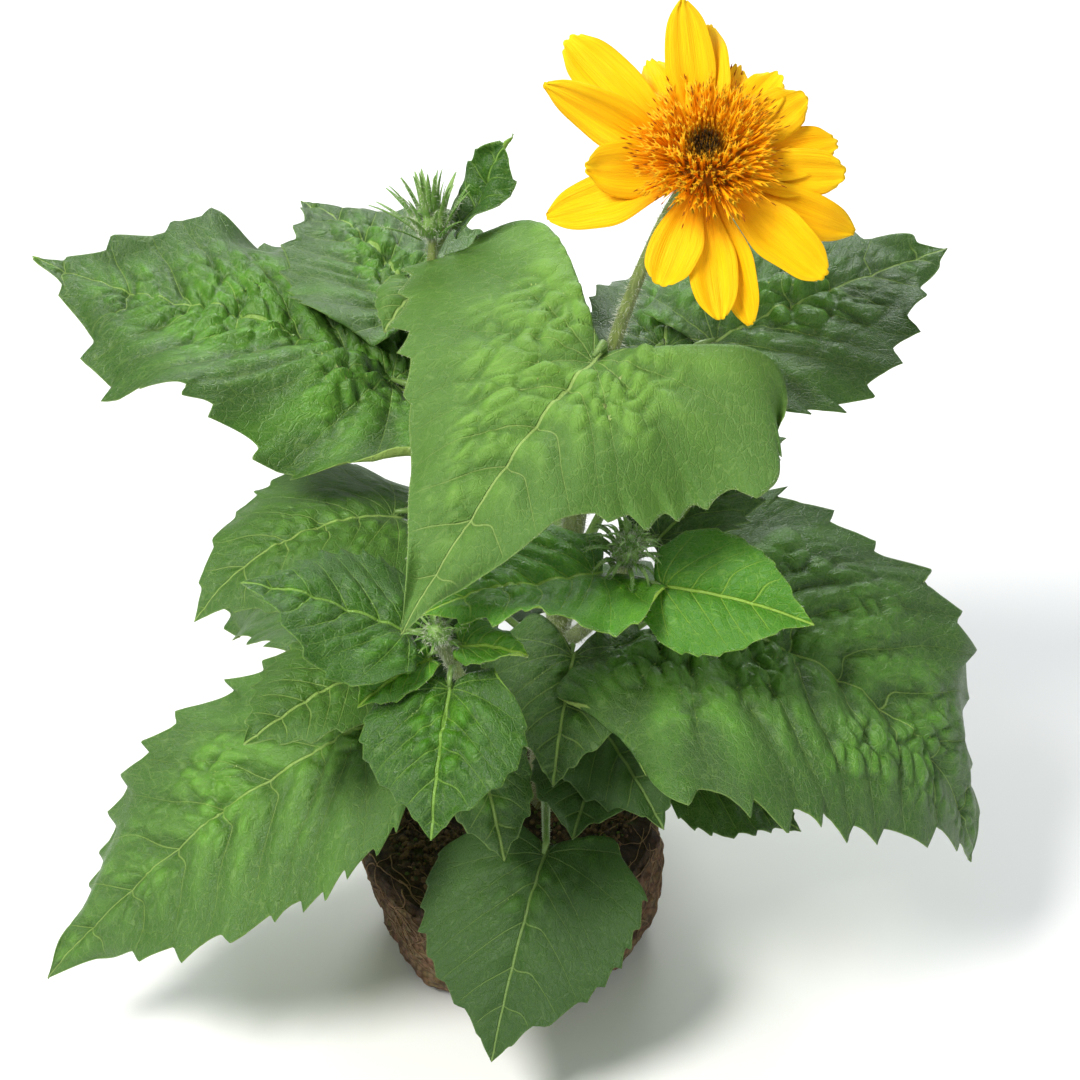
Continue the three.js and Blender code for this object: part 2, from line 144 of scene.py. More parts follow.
# ---- meshes -------------------------------------------------------------------------------
def direction(heading, rise):
    """Unit direction from a heading (anticlockwise from +X) and a rise, both in degrees."""
    turn, lift = np.radians(heading), np.radians(rise)
    return np.stack([np.cos(lift) * np.cos(turn), np.cos(lift) * np.sin(turn), np.sin(lift)], -1)


def unit(vectors):
    return vectors / np.maximum(np.linalg.norm(vectors, axis=-1, keepdims=True), 1e-12)


def add_object(name, data):
    thing = bpy.data.objects.new(name, data)
    bpy.context.scene.collection.objects.link(thing)
    return thing


def make_object(name, places, faces, smooth=True):
    """A mesh object from places in millimetres and a list of face arrays of three or four corners."""
    mesh = bpy.data.meshes.new(name)
    corners = np.concatenate([block.ravel() for block in faces]).astype(np.int32)
    sizes = np.concatenate([np.full(len(block), block.shape[1]) for block in faces])
    mesh.vertices.add(len(places))
    mesh.vertices.foreach_set("co", (np.asarray(places) * MM).astype(np.float32).ravel())
    mesh.loops.add(len(corners))
    mesh.loops.foreach_set("vertex_index", corners)
    mesh.polygons.add(len(sizes))
    mesh.polygons.foreach_set("loop_start", np.concatenate([[0], np.cumsum(sizes)[:-1]]).astype(np.int32))
    mesh.polygons.foreach_set("use_smooth", np.full(len(sizes), smooth))
    mesh.update(calc_edges=True)
    return add_object(name, mesh)


def store(thing, name, values):
    """Keeps one number or one vector for each vertex of a mesh."""
    kind, field = ("FLOAT_VECTOR", "vector") if values.ndim == 2 else ("FLOAT", "value")
    attribute = thing.data.attributes.new(name, kind, "POINT")
    attribute.data.foreach_set(field, values.astype(np.float32).ravel())


def store_bake_map(thing, places):
    """Gives a mesh its own flat map, from one pair of numbers for each vertex."""
    layer = thing.data.uv_layers.new(name="OFBake")
    order = np.zeros(len(thing.data.loops), np.int32)
    thing.data.loops.foreach_get("vertex_index", order)
    layer.uv.foreach_set("vector", places[order].astype(np.float32).ravel())


def grid_faces(rows, columns, wrap=False):
    """Quads over a grid of rows by columns; wrap joins the last column to the first."""
    row = np.arange(rows - 1)[:, None] * columns
    column = np.arange(columns if wrap else columns - 1)[None, :]
    beside = (column + 1) % columns
    quads = np.stack([row + column, row + beside, row + columns + beside, row + columns + column], -1)
    return quads.reshape(-1, 4)


def ring_faces(rings, sides):
    """Face blocks round a stack of rings, closed at two last places: the foot's and the tip's."""
    count = rings * sides
    turn = np.arange(sides)
    beside = (turn + 1) % sides
    foot = np.stack([np.full(sides, count), beside, turn], -1)
    tip = np.stack([np.full(sides, count + 1), count - sides + turn, count - sides + beside], -1)
    return [grid_faces(rings, sides, wrap=True), np.concatenate([foot, tip])]


def thin_solid(surface, thickness):
    """A closed thin solid over a grid of places: its places and quads, top skin first."""
    rows, columns = surface.shape[:2]
    along = np.gradient(surface, axis=0)
    across = np.gradient(surface, axis=1)
    normal = unit(np.cross(along, across))
    depth = thickness if np.ndim(thickness) == 0 else thickness[..., None]
    places = np.concatenate([surface.reshape(-1, 3), (surface - normal * depth).reshape(-1, 3)])
    top = grid_faces(rows, columns)
    under = top[:, ::-1] + rows * columns
    index = np.arange(rows * columns).reshape(rows, columns)
    rim = np.concatenate([index[0, :-1], index[:-1, -1], index[-1, :0:-1], index[:0:-1, 0]])
    beside = np.roll(rim, -1)
    side = np.stack([rim, rim + rows * columns, beside + rows * columns, beside], -1)
    return places, np.concatenate([top, under, side])[:, ::-1]


def tube(centres, radii, sides, ribs=0, rib_depth=0.0, twist=0.0):
    """A closed tube through centres, with lengthwise ribs: its places and its face blocks."""
    centres = np.asarray(centres, float)
    tangent = unit(np.gradient(centres, axis=0))
    across = np.zeros_like(tangent)
    guide = np.array([0.31, 0.95, 0.05])
    for place, line in enumerate(tangent):
        guide = unit(guide - line * (guide @ line))
        across[place] = guide
    up = np.cross(tangent, across)
    angle = np.arange(sides) * 2 * np.pi / sides
    swell = 1 + rib_depth * np.cos(ribs * angle)
    turned = angle[None, :] + twist * np.arange(len(centres))[:, None]
    ring = (np.cos(turned)[..., None] * across[:, None] + np.sin(turned)[..., None] * up[:, None])
    places = centres[:, None] + ring * (np.asarray(radii)[:, None] * swell)[..., None]
    return np.concatenate([places.reshape(-1, 3), centres[[0, -1]]]), ring_faces(len(centres), sides)


def join_parts(parts):
    """Joins (places, face blocks) pairs, each numbered from nought, into one such pair."""
    places, threes, fours, start = [], [np.zeros((0, 3), int)], [np.zeros((0, 4), int)], 0
    for part_places, blocks in parts:
        for block in blocks:
            (threes if block.shape[1] == 3 else fours).append(block + start)
        places.append(part_places)
        start += len(part_places)
    return np.concatenate(places), [np.concatenate(threes), np.concatenate(fours)]


def own_finishes(thing, slot, *nodes):
    """Gives a piece that carries its materials its body and hides the nodes it stands for; its slot is not
    used.
    """
    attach(thing, BODY)
    if nodes:
        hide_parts(*nodes)


def finish_piece(thing, material, slot, *nodes):
    """Gives a piece one material, and the rest as own_finishes does."""
    thing.data.materials.clear()
    thing.data.materials.append(material)
    own_finishes(thing, slot, *nodes)


# ---- reading the frame --------------------------------------------------------------------
def node_places(node):
    """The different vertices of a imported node, in millimetres."""
    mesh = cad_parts[node].data
    places = np.zeros(len(mesh.vertices) * 3)
    mesh.vertices.foreach_get("co", places)
    return np.unique(np.round(places.reshape(-1, 3) / MM, 2), axis=0)


LIMB_SIDES = 9       # a packed limb is a stack of rings with this many corners


def limb_rings(node):
    """The centre and radius of each whole ring of a packed limb, foot first."""
    places = node_places(node)
    places = places[np.argsort(places[:, 2])]
    bands = np.split(places, np.nonzero(np.diff(places[:, 2]) > 4.0)[0] + 1)
    whole = [band for band in bands if len(band) == LIMB_SIDES]
    centres = np.array([band.mean(0) for band in whole])
    radii = np.array([np.linalg.norm(band - band.mean(0), axis=1).mean() for band in whole])
    return centres, radii


def smooth_path(centres, radii, step):
    """A smooth path through ring centres with a place about every step, and its radii."""
    reach = np.concatenate([[0], np.cumsum(np.linalg.norm(np.diff(centres, axis=0), axis=1))])
    count = max(int(reach[-1] / step), 4)
    fine = np.linspace(0, reach[-1], count)
    slope = np.gradient(centres, reach, axis=0)
    seat = np.clip(np.searchsorted(reach, fine, side="right") - 1, 0, len(reach) - 2)
    span = (reach[seat + 1] - reach[seat])[:, None]
    part = ((fine - reach[seat])[:, None]) / span
    start = (2 * part ** 3 - 3 * part ** 2 + 1) * centres[seat]
    end = (3 * part ** 2 - 2 * part ** 3) * centres[seat + 1]
    leave = (part ** 3 - 2 * part ** 2 + part) * span * slope[seat]
    arrive = (part ** 3 - part ** 2) * span * slope[seat + 1]
    return start + end + leave + arrive, np.interp(fine, reach, radii)


# ---- leaves -------------------------------------------------------------------------------
# Headings are degrees anticlockwise from +X seen from above, rises are degrees above level and
# lengths are millimetres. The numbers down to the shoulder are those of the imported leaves, so that
# a fine blade lies on its packed blade; the others give each leaf its own surface.
@dataclass
class Leaf:
    kind: str                  # which leaf finish it takes
    stalk: tuple               # length, heading, rise
    blade: tuple               # length, width, heading, pitch at the base
    droop: float = 0
    sweep: float = 0
    roll: float = 0
    arch: float = 0
    lobe: float = 10           # how far the heart-shaped base reaches back
    shoulder: float = 1
    pucker: float = 1.0        # how deep the blade is quilted between its veins
    wave: float = 1.0          # how much its margins ripple
    tooth: float = 1.0         # how deep its margins are cut
    first_tooth: float = 0.04  # where the teeth start and stop along the margin
    last_tooth: float = 0.9
    ridge: float = 0.0         # bulge of the blade's left half (+) along its side vein
    folds: tuple = (0, 0)      # how far its left and right lobes hang over, mm
    full: float = 0.0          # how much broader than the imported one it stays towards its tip
    valley: float = 1.0        # how deep the midrib lies
    left: tuple = (0, 1.0)     # how much further each half's lobe reaches back, and how much
    right: tuple = (0, 1.0)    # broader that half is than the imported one


LEAVES = {
    "leaf_top_front": Leaf("top", (36, -72, 70), (124, 128, -131, -14), 22, 0, -14, 8, 18, -0.4,
                           pucker=0.9, wave=1.25, tooth=1.25, last_tooth=0.46, folds=(15, 3), valley=1.3,
                           right=(15, 1.36), left=(12, 1.24)),
    "leaf_left_upper": Leaf("mature", (12, 175, 30), (150, 108, 160, 19), 10, 0, -9, 4,
                            pucker=1.6, wave=1.8, tooth=1.1, ridge=11, full=0.24, left=(14, 1.1)),
    "leaf_left_back": Leaf("mature", (14, 110, 30), (86, 82, 122, 18), 14, 30, 6, 2, pucker=1.4),
    "leaf_right_upper": Leaf("mature", (50, 18, 31), (100, 90, 22, 12), 12, 0, 18, 6,
                             pucker=1.1, tooth=1.2),
    "leaf_back_top": Leaf("mature", (36, 42, 18), (86, 62, 80, 6), 18, 0, 0, 4),
    "leaf_right_low": Leaf("mature", (78, -30, 50), (170, 134, -18, 2), 86, 0, 14, 4,
                           pucker=1.5, wave=1.1, tooth=1.25, valley=1.6, right=(22, 1.12)),
    "leaf_shoot_right": Leaf("young", (18, -52, 22), (58, 46, -22, 6), 24, 0, 34, 2, 1,
                             pucker=0.4, wave=0.5, tooth=0.45),
    "leaf_shoot_centre": Leaf("young", (12, -135, 62), (74, 56, -150, 16), 14, 0, -8, 3, 5,
                              pucker=1.2, wave=2.0, tooth=1.2, left=(8, 1.4), right=(2, 1.15)),
    "leaf_shoot_back": Leaf("mature", (20, 22, 50), (64, 44, 36, 22), 16, 0, 8, 3, 4),
    "leaf_front_left": Leaf("inner", (11, 165, 35), (62, 54, 172, 34), 28, 0, -14, 4, 4,
                            pucker=1.3, tooth=0.7),
    "leaf_left_middle": Leaf("pale", (70, 178, 42), (94, 76, -158, 26), 78, 0, -8, 8,
                             pucker=0.45, wave=0.6, tooth=0.6),
    "leaf_left_inner": Leaf("pale", (50, 178, 28), (50, 48, -142, 6), 20, 0, -10, 3, 6,
                            pucker=0.8),
    "leaf_front_young": Leaf("inner", (12, -95, 16), (56, 56, -104, -26), 30, 0, 0, 4, 5,
                             pucker=1.3, tooth=0.6),
    "leaf_left_low": Leaf("pale", (80, -150, 28), (168, 98, -168, -21), 26, 0, -24, 5,
                          pucker=1.0, wave=0.9, tooth=0.9, last_tooth=0.8),
    "leaf_front_low": Leaf("low", (62, -92, 12), (82, 84, -114, -26), 26, 0, 0, 5, 8,
                           pucker=0.45, wave=0.6, tooth=0.7),
    "leaf_front_hanging": Leaf("mature", (14, -130, 10), (44, 34, -76, -40), 18, 0, 0, 2, 3,
                               tooth=0.5),
    "leaf_front_right": Leaf("low", (46, -62, 26), (40, 46, -112, -8), 24, 0, 0, 3, 5,
                             pucker=0.7, tooth=0.6),
    "leaf_centre": Leaf("mature", (46, -76, 46), (54, 52, -104, -16), 30, 0, 0, 3, 5, tooth=0.8,
                        left=(10, 1.35), right=(9, 1.3)),
    "leaf_bud_front": Leaf("young", (5, -170, 8), (32, 22, -158, -6), 30, 0, -16, 1, 1, tooth=0.5),
    "leaf_bud_side": Leaf("young", (6, -20, 36), (26, 22, -8, 10), 40, 0, 10, 1, 1,
                          wave=1.6, tooth=0.5),
    "leaf_inner_left": Leaf("low", (30, 176, 48), (56, 52, -168, 8), 24, 0, -6, 3, 5, tooth=0.8),
    "leaf_inner_right": Leaf("low", (40, -62, 42), (58, 50, -62, -12), 24, 0, 8, 3, 5, tooth=0.8),
    "leaf_right_under": Leaf("mature", (52, -14, 2), (54, 44, -20, -10), 28, 0, 10, 3, 5),
    "leaf_left_dark": Leaf("low", (56, 162, 40), (66, 60, 140, 14), 24, 0, -8, 4),
    "leaf_bud_curled": Leaf("top", (9, -110, 20), (27, 28, -128, 12), 60, 0, 0, 2, 2, tooth=0.4),
    "leaf_bud_top": Leaf("inner", (14, 55, 30), (40, 26, 20, 52), 4, 0, 0, 1, 1, wave=3.2, tooth=0.7),
    "leaf_back_right": Leaf("mature", (60, 56, 28), (96, 90, 64, 4), 36, 0, 0, 6, pucker=1.2),
    "leaf_back_middle": Leaf("mature", (60, 96, 26), (122, 104, 98, 4), 38, 0, 0, 6, pucker=1.3),
    "leaf_back_left": Leaf("mature", (62, 142, 20), (118, 98, 146, 0), 36, 0, 0, 6, pucker=1.1),
    "leaf_back_low": Leaf("low", (62, 78, 14), (84, 78, 80, -6), 34, 0, 0, 5, pucker=0.8),
    "leaf_side_low": Leaf("low", (60, 18, 20), (98, 84, 20, -2), 44, 0, 0, 5, pucker=0.9),
}

PACKED_STATIONS = [0, 0.1, 0.25, 0.42, 0.6, 0.78, 0.91, 0.985]
PACKED_ACROSS = [-1, -0.5, 0, 0.5, 1]
PACKED_THICKNESS = 1.5
BLADE_THICKNESS = 0.4
STALK_TAPER = 0.6
STALK_SIDES = 12
VEIN_LEAN = math.radians(47)         # between the midrib and its side veins
FAN_STEP = math.radians(33)          # between the veins that spread from the blade's base


def stalk_radius(leaf):
    return min(max(leaf.blade[1] / 38, 1.2), 2.4)


def outline(leaf, u):
    """Half-width of the heart-shaped blade along its midrib, about 1 at its widest."""
    foot = 1 - 0.2 * leaf.shoulder
    return (1 - u) ** 1.1 * (foot + (0.85 + 1.35 * leaf.shoulder) * u)


def blade_frame(leaf, along):
    """Place, tangent, side and up of the midrib at distances from the blade's base."""
    length, _, heading, pitch = leaf.blade
    place = np.zeros(along.shape + (3,))
    steps = 12
    for step in range(steps):
        share = np.maximum(0, along / length * (step + 0.5) / steps)
        bend = direction(heading + leaf.sweep * (share - 0.5), pitch - leaf.droop * share)
        place += bend * (along / steps)[..., None]
    share = np.maximum(0, along / length)
    tangent = direction(heading + leaf.sweep * (share - 0.5), pitch - leaf.droop * share)
    level = unit(np.cross(np.array([0, 0, 1.0]), tangent))
    roll = math.radians(leaf.roll)
    side = level * math.cos(roll) + np.cross(tangent, level) * math.sin(roll)
    return place, side, np.cross(tangent, side)


def plain_blade(leaf, u, v):
    """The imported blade's surface about its own base: u runs base to tip and v across, -1 to 1."""
    length, width = leaf.blade[:2]
    along = u * length - leaf.lobe * np.abs(v) ** 1.6 * (1 - u) ** 2
    place, side, up = blade_frame(leaf, along)
    breadth = outline(leaf, u)
    reach = (width / 2 * breadth * v)[..., None]
    return place + side * reach - up * (leaf.arch * v * v * breadth)[..., None]


def blade_base(name, leaf):
    """Where the blade meets its stalk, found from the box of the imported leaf."""
    u, v = np.meshgrid(PACKED_STATIONS, PACKED_ACROSS, indexing="ij")
    blade = plain_blade(leaf, u, v).reshape(-1, 3)
    nudge = 0.01
    along = plain_blade(leaf, u + nudge, v).reshape(-1, 3) - blade
    across = plain_blade(leaf, u, v + nudge).reshape(-1, 3) - blade
    lift = unit(np.cross(along, across)) * PACKED_THICKNESS / 2
    skins = np.concatenate([blade + lift, blade - lift])
    foot = -direction(leaf.stalk[1], leaf.stalk[2]) * leaf.stalk[0]
    low, high = (np.array(corner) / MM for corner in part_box(name))
    base = np.zeros(3)
    for axis in range(3):
        if foot[axis] < 0:
            base[axis] = high[axis] - skins[:, axis].max()
        else:
            base[axis] = low[axis] - skins[:, axis].min()
    return base


def vein_places(leaf, x, y):
    """Side-vein phase (whole on a vein), millimetres to one phase and the vein's own distance."""
    length, width = leaf.blade[:2]
    start = 0.05 * length
    bow = 0.5 / width
    veins = 3.4 + length / 46
    side = np.abs(y)
    lifted = x - bow * side ** 2
    foot = lifted - side / math.tan(VEIN_LEAN)
    rest = np.maximum(foot - start, 0) / (length - start)
    wobble = 0.13 * smooth_noise(np.stack([x / 17, y / 17], -1), length)
    stagger = np.where(y > 0, 0.36, 0.0) * smooth_step(0, 9, side) * smooth_step(0, 14, foot - start)
    main = veins * rest ** 0.86 + (wobble + stagger) * smooth_step(0, 0.08, rest)
    main_width = (length - start) * math.sin(VEIN_LEAN) / (veins * 0.86) * np.maximum(rest, 0.02) ** 0.14
    spread = np.arctan2(side, lifted - start)
    radius = np.hypot(side, lifted - start)
    fan = -(spread - VEIN_LEAN) / FAN_STEP
    in_fan = foot < start
    phase = np.where(in_fan, fan, main)
    return phase, np.where(in_fan, radius * FAN_STEP, main_width), foot


def tooth_line(reach, seed, pitch):
    """Forward-pointing saw teeth of uneven size along a margin, 0 to 1."""
    chance = np.random.default_rng(seed)
    ends = np.cumsum(pitch * chance.uniform(0.6, 1.5, 80))
    sizes = chance.uniform(0.45, 1.0, 80)
    seat = np.searchsorted(ends, reach)
    begin = np.concatenate([[0], ends])[seat]
    part = (reach - begin) / (ends[seat] - begin)
    slope = np.where(part < 0.8, (part / 0.8) ** 1.7, ((1 - part) / 0.2) ** 0.9)
    return slope * sizes[seat]


def blade_grid(leaf, step):
    """The run from base to tip, and the shares down (0 to 1) and across (-1 to 1) of each place."""
    length, width = leaf.blade[:2]
    run = np.linspace(0, 1, int(length * 1.12 / step))
    run = run + 0.35 * (1 - run) * run * (run - 0.5) * -1.0
    u, v = np.meshgrid(run * 0.998, np.linspace(-1, 1, int(width / step) | 1), indexing="ij")
    return run, u, v


def blade_spread(leaf, u, v, seed):
    """Millimetres along and out from the midrib before the margin is cut, and the breadth."""
    length, width = leaf.blade[:2]
    edge = np.abs(v)
    breadth = outline(leaf, u) * (1 - 0.2 * edge ** 2 * smooth_step(0.16, 0, u))
    uneven = layered_noise(np.stack([u * length / 34, np.sign(v) * 5], -1), 2, seed)
    breadth = breadth * (1 + 0.075 * leaf.wave * uneven * edge)
    breadth = breadth * (1 - 0.3 * np.exp(-((u - 0.88) / 0.13) ** 2))
    breadth = breadth * (1 + leaf.full * np.exp(-((u - 0.7) / 0.24) ** 2))
    further = np.where(v > 0, leaf.left[0], leaf.right[0])
    broader = np.where(v > 0, leaf.left[1], leaf.right[1])
    breadth = breadth * (1 + (broader - 1) * smooth_step(0.7, 0.0, u) * edge)
    rounded = (1.9 * edge ** 1.3 - 1.45 * edge ** 3.2) / 0.73
    along = u * length - (leaf.lobe + further) * rounded * (1 - u) ** 2
    return along, width / 2 * breadth * v, breadth


def blade_teeth(leaf, run, v, margin, pitch, seed):
    """The teeth of both margins, 0 to 1, carried in over the blade's halves."""
    teeth = np.zeros_like(v)
    fade = smooth_step(leaf.first_tooth, leaf.first_tooth + 0.05, run)
    fade = fade * smooth_step(leaf.last_tooth + 0.08, leaf.last_tooth - 0.05, run)
    for sign in (-1, 1):
        half = np.where(np.sign(v) == sign, 1.0, 0.0)
        teeth += half * (tooth_line(margin, seed + sign, pitch) * fade)[:, None]
    return teeth


def blade_relief(leaf, u, v, reached, veins, seed):
    """The quilting between the veins, and the same with the ribs, the groove and the trough."""
    length, width = leaf.blade[:2]
    along, side_reach = reached
    phase, phase_width, foot = veins
    off_vein = np.abs(phase - np.round(phase))
    reach = np.abs(side_reach)
    from_base = smooth_step(2, 16, np.hypot(along, side_reach))
    inner = smooth_step(0.85, 0.15, np.abs(v))
    quilt = smooth_step(0, 0.5, off_vein) * np.minimum(phase_width, 22) / 22
    cells = np.stack([(foot + along) / 17, side_reach / 8], -1)
    cells += 0.35 * np.stack([smooth_noise(cells * 0.9, 3), smooth_noise(cells * 0.9, 9)], -1)
    dimple = smooth_step(0.0, 0.55, cell_edges(cells, seed % 97))
    fine_cells = cell_edges(cells * 2.3, seed % 89)
    patch = smooth_step(-0.5, 0.6, smooth_noise(np.stack([along, side_reach], -1) / 22, seed))
    relief = 2.4 * quilt * (0.25 + 0.75 * inner)
    relief = relief + (3.0 * dimple + 0.7 * fine_cells) * (0.15 + 0.85 * patch) * (0.06 + 0.94 * inner)
    relief = relief * leaf.pucker * from_base * min(1.0, 0.35 + length / 150)
    relief = relief * (0.25 + 0.75 * smooth_step(0.85, 0.3, u))
    groove = 1.7 * leaf.valley * np.exp(-(reach / (2.2 + 0.02 * width)) ** 2) * (1 - u) ** 0.6
    trough = 2.4 * leaf.valley * np.exp(-reach / (0.16 * width))
    rib = -0.7 * np.exp(-(off_vein * phase_width / 1.1) ** 2) * leaf.pucker * from_base
    rib = rib * (0.35 + 0.65 * inner)
    return relief, relief + rib - groove - trough


def blade_bends(leaf, u, v, reached, margin, pitch, seed, lift):
    """Adds to a lift the margin's ripples, the blade's swells, its hanging lobes and its ridge."""
    length, width = leaf.blade[:2]
    along, side_reach = reached
    edge = np.abs(v)
    swell = smooth_noise(np.stack([along / (0.36 * length), side_reach / (0.3 * width)], -1), seed + 2)
    wave = np.sin(margin[:, None] / (0.9 * pitch) + np.sign(v) * 1.9 + seed % 7)
    stretch = np.stack([margin[:, None] / pitch * 0.8 + 0 * v, np.sign(v) * 3], -1)
    wave = wave + 0.8 * smooth_noise(stretch, seed)
    ripple = leaf.wave * (0.8 + length / 48) * wave * smooth_step(0.45, 1.0, edge) ** 1.4
    ripple = ripple * smooth_step(1.0, 0.8, u)
    lift = lift + ripple + leaf.wave * 0.018 * length * swell
    folded = smooth_step(0.5, 1.05, edge) ** 1.2 * smooth_step(0.62, 0.1, u) * smooth_step(-0.1, 0.02, u)
    lift = lift - folded * np.where(v > 0, leaf.folds[0], leaf.folds[1])
    line = np.abs(np.abs(side_reach) - (0.3 * width * smooth_step(0, 0.5, u)))
    bulge = np.exp(-(line / (0.12 * width)) ** 2) * smooth_step(0.9, 0.3, u) * smooth_step(0, 0.2, u)
    return lift + leaf.ridge * bulge * (v > 0)


def fine_blade(name, leaf, step):
    """The blade's finished surface about its base, with what its material needs at each place."""
    length, width = leaf.blade[:2]
    seed = sum(ord(letter) * (place + 3) for place, letter in enumerate(name))
    run, u, v = blade_grid(leaf, step)
    edge = np.abs(v)
    along, side_reach, breadth = blade_spread(leaf, u, v, seed)
    margin = run * length * 1.1
    pitch = 4.2 + length / 15
    teeth = blade_teeth(leaf, run, v, margin, pitch, seed)
    bite = leaf.tooth * (1.6 + length / 31)
    near = smooth_step(0.72, 1.0, edge)
    side_reach += np.sign(v) * bite * (teeth - 0.45) * near * np.minimum(1, breadth * 2)
    along = along + bite * 0.75 * teeth * near

    place, side, up = blade_frame(leaf, along)
    surface = place + side * side_reach[..., None]
    surface -= up * (leaf.arch * v * v * breadth)[..., None]
    reached = (along, side_reach)
    phase, phase_width, foot = vein_places(leaf, along, side_reach)
    relief, lift = blade_relief(leaf, u, v, reached, (phase, phase_width, foot), seed)
    lift = blade_bends(leaf, u, v, reached, margin, pitch, seed, lift)
    surface = surface + up * (lift * smooth_step(-0.05, 0.05, u + 0.2 * (1 - edge)))[..., None]

    thickness = BLADE_THICKNESS * (0.55 + 0.45 * smooth_step(1.0, 0.9, edge))
    thickness = thickness + 0.9 * np.exp(-(np.abs(side_reach) / 1.5) ** 2) * (1 - u)
    margin_reach = width / 2 * breadth * (1 - edge)
    marks = {
        "blade_place": np.stack([along, side_reach, margin_reach], -1),
        "blade_veins": np.stack([phase, phase_width, relief], -1),
        "blade_cells": np.stack([(foot + along) / 2, side_reach, np.full_like(u, seed % 101)], -1),
    }
    plane = np.stack([0.5 + v * 0.49, u], -1)
    return surface, thickness, marks, plane


def leaf_stalk(leaf, base):
    """The leaf's stalk, a little grooved, from inside its limb to just under the blade."""
    foot = base - direction(leaf.stalk[1], leaf.stalk[2]) * leaf.stalk[0]
    middle = (foot + base) / 2 + np.array([0, 0, leaf.stalk[0] * 0.06])
    part = np.linspace(0, 1, max(8, int(leaf.stalk[0] / 2)))[:, None]
    path = foot * (1 - part) ** 2 + 2 * middle * part * (1 - part) + base * part ** 2
    _, _, up = blade_frame(leaf, np.array([0.0]))
    end = blade_frame(leaf, np.array([0.05 * leaf.blade[0]]))[0][0] + base
    path = np.concatenate([path[:-1], [base - up[0] * 0.6, end - up[0] * 1.6]])
    radii = stalk_radius(leaf) * (1 - (1 - STALK_TAPER) * np.linspace(0, 1, len(path)))
    radii[-1] *= 0.55
    return tube(path, radii, STALK_SIDES, ribs=3, rib_depth=0.07)


def build_leaf(name, fineness):
    """One leaf, blade and stalk, in the place of its packed leaf."""
    leaf = LEAVES[name]
    base = blade_base(name, leaf)
    step = (1.05 if leaf.blade[0] > 90 else 1.15) / fineness
    surface, thickness, marks, plane = fine_blade(name, leaf, step)
    blade_places, blade_faces = thin_solid(surface + base, thickness)
    stalk_places, stalk_blocks = leaf_stalk(leaf, base)
    places, blocks = join_parts([(blade_places, [blade_faces]), (stalk_places, stalk_blocks)])
    thing = make_object(name + "_blade", places, blocks)
    extra = len(stalk_places)
    for key, values in marks.items():
        flat = values.reshape(-1, 3)
        rest = np.tile(np.array([[-30.0, 40.0, 40.0]]), (extra, 1))
        store(thing, key, np.concatenate([flat, flat, rest]))
    count = surface.shape[0] * surface.shape[1]
    store(thing, "blade_under", np.concatenate([np.zeros(count), np.ones(count), np.full(extra, 0.0)]))
    store(thing, "blade_stalk", np.concatenate([np.zeros(2 * count), np.ones(extra)]))
    flat = plane.reshape(-1, 2)
    top = flat * [0.47, 0.92] + [0.01, 0.01]
    under = flat * [0.47, 0.92] + [0.51, 0.01]
    corners = extra - 2
    ring, corner = np.divmod(np.arange(corners), STALK_SIDES)
    stalk_plane = np.stack([0.02 + 0.96 * ring / (corners / STALK_SIDES),
                            0.945 + 0.05 * corner / STALK_SIDES], -1)
    stalk_plane = np.concatenate([stalk_plane, stalk_plane[[0, -1]]])
    store_bake_map(thing, np.concatenate([top, under, stalk_plane]))
    finish_piece(thing, MATERIALS[leaf.kind], LEAF_SLOTS[leaf.kind], name)
    return surface + base


DOWNY_LEAVES = ("leaf_top_front", "leaf_bud_top", "leaf_bud_curled", "leaf_shoot_right",
                "leaf_shoot_centre", "leaf_bud_front", "leaf_bud_side")
LEAF_SLOTS = {"mature": "mature_leaf", "low": "low_leaf", "top": "top_leaf", "pale": "mature_leaf",
              "inner": "young_leaf", "young": "young_leaf"}


# ---- node tools ---------------------------------------------------------------------------
def plug(tree, socket, value):
    """Gives a socket its value, or links it from the socket that carries the value."""
    if isinstance(value, bpy.types.NodeSocket):
        tree.links.new(value, socket)
    else:
        socket.default_value = value


def add_node(tree, kind, inputs=None, **settings):
    """A node with its settings and its inputs, each a value or a socket to link from."""
    made = tree.nodes.new(kind)
    for key, value in settings.items():
        setattr(made, key, value)
    for key, value in (inputs or {}).items():
        plug(tree, made.inputs[key], value)
    return made


def calc(tree, operation, *values, clamp=False):
    return add_node(tree, "ShaderNodeMath", dict(enumerate(values)),
                    operation=operation, use_clamp=clamp).outputs[0]


def times(tree, first, second):
    return calc(tree, "MULTIPLY", first, second)


def parts_of(tree, vector):
    return add_node(tree, "ShaderNodeSeparateXYZ", {0: vector}).outputs


def fade(tree, value, low, high, from_value=0.0, to_value=1.0):
    """A smooth step of a value between low and high."""
    places = {"Value": value, "From Min": low, "From Max": high, "To Min": from_value, "To Max": to_value}
    return add_node(tree, "ShaderNodeMapRange", places, interpolation_type="SMOOTHSTEP").outputs["Result"]


def blend(tree, share, first, second, mode="MIX"):
    made = add_node(tree, "ShaderNodeMix", data_type="RGBA", blend_type=mode)
    for key, value in (("Factor", share), (6, first), (7, second)):
        plug(tree, made.inputs[key], value)
    return made.outputs[2]


def noise(tree, vector, scale, detail=3.0, roughness=0.55, distortion=0.0):
    values = {"Vector": vector, "Scale": scale, "Detail": detail, "Roughness": roughness,
              "Distortion": distortion}
    return add_node(tree, "ShaderNodeTexNoise", values).outputs["Fac"]


def mark(tree, name, output="Fac"):
    return add_node(tree, "ShaderNodeAttribute", attribute_name=name).outputs[output]


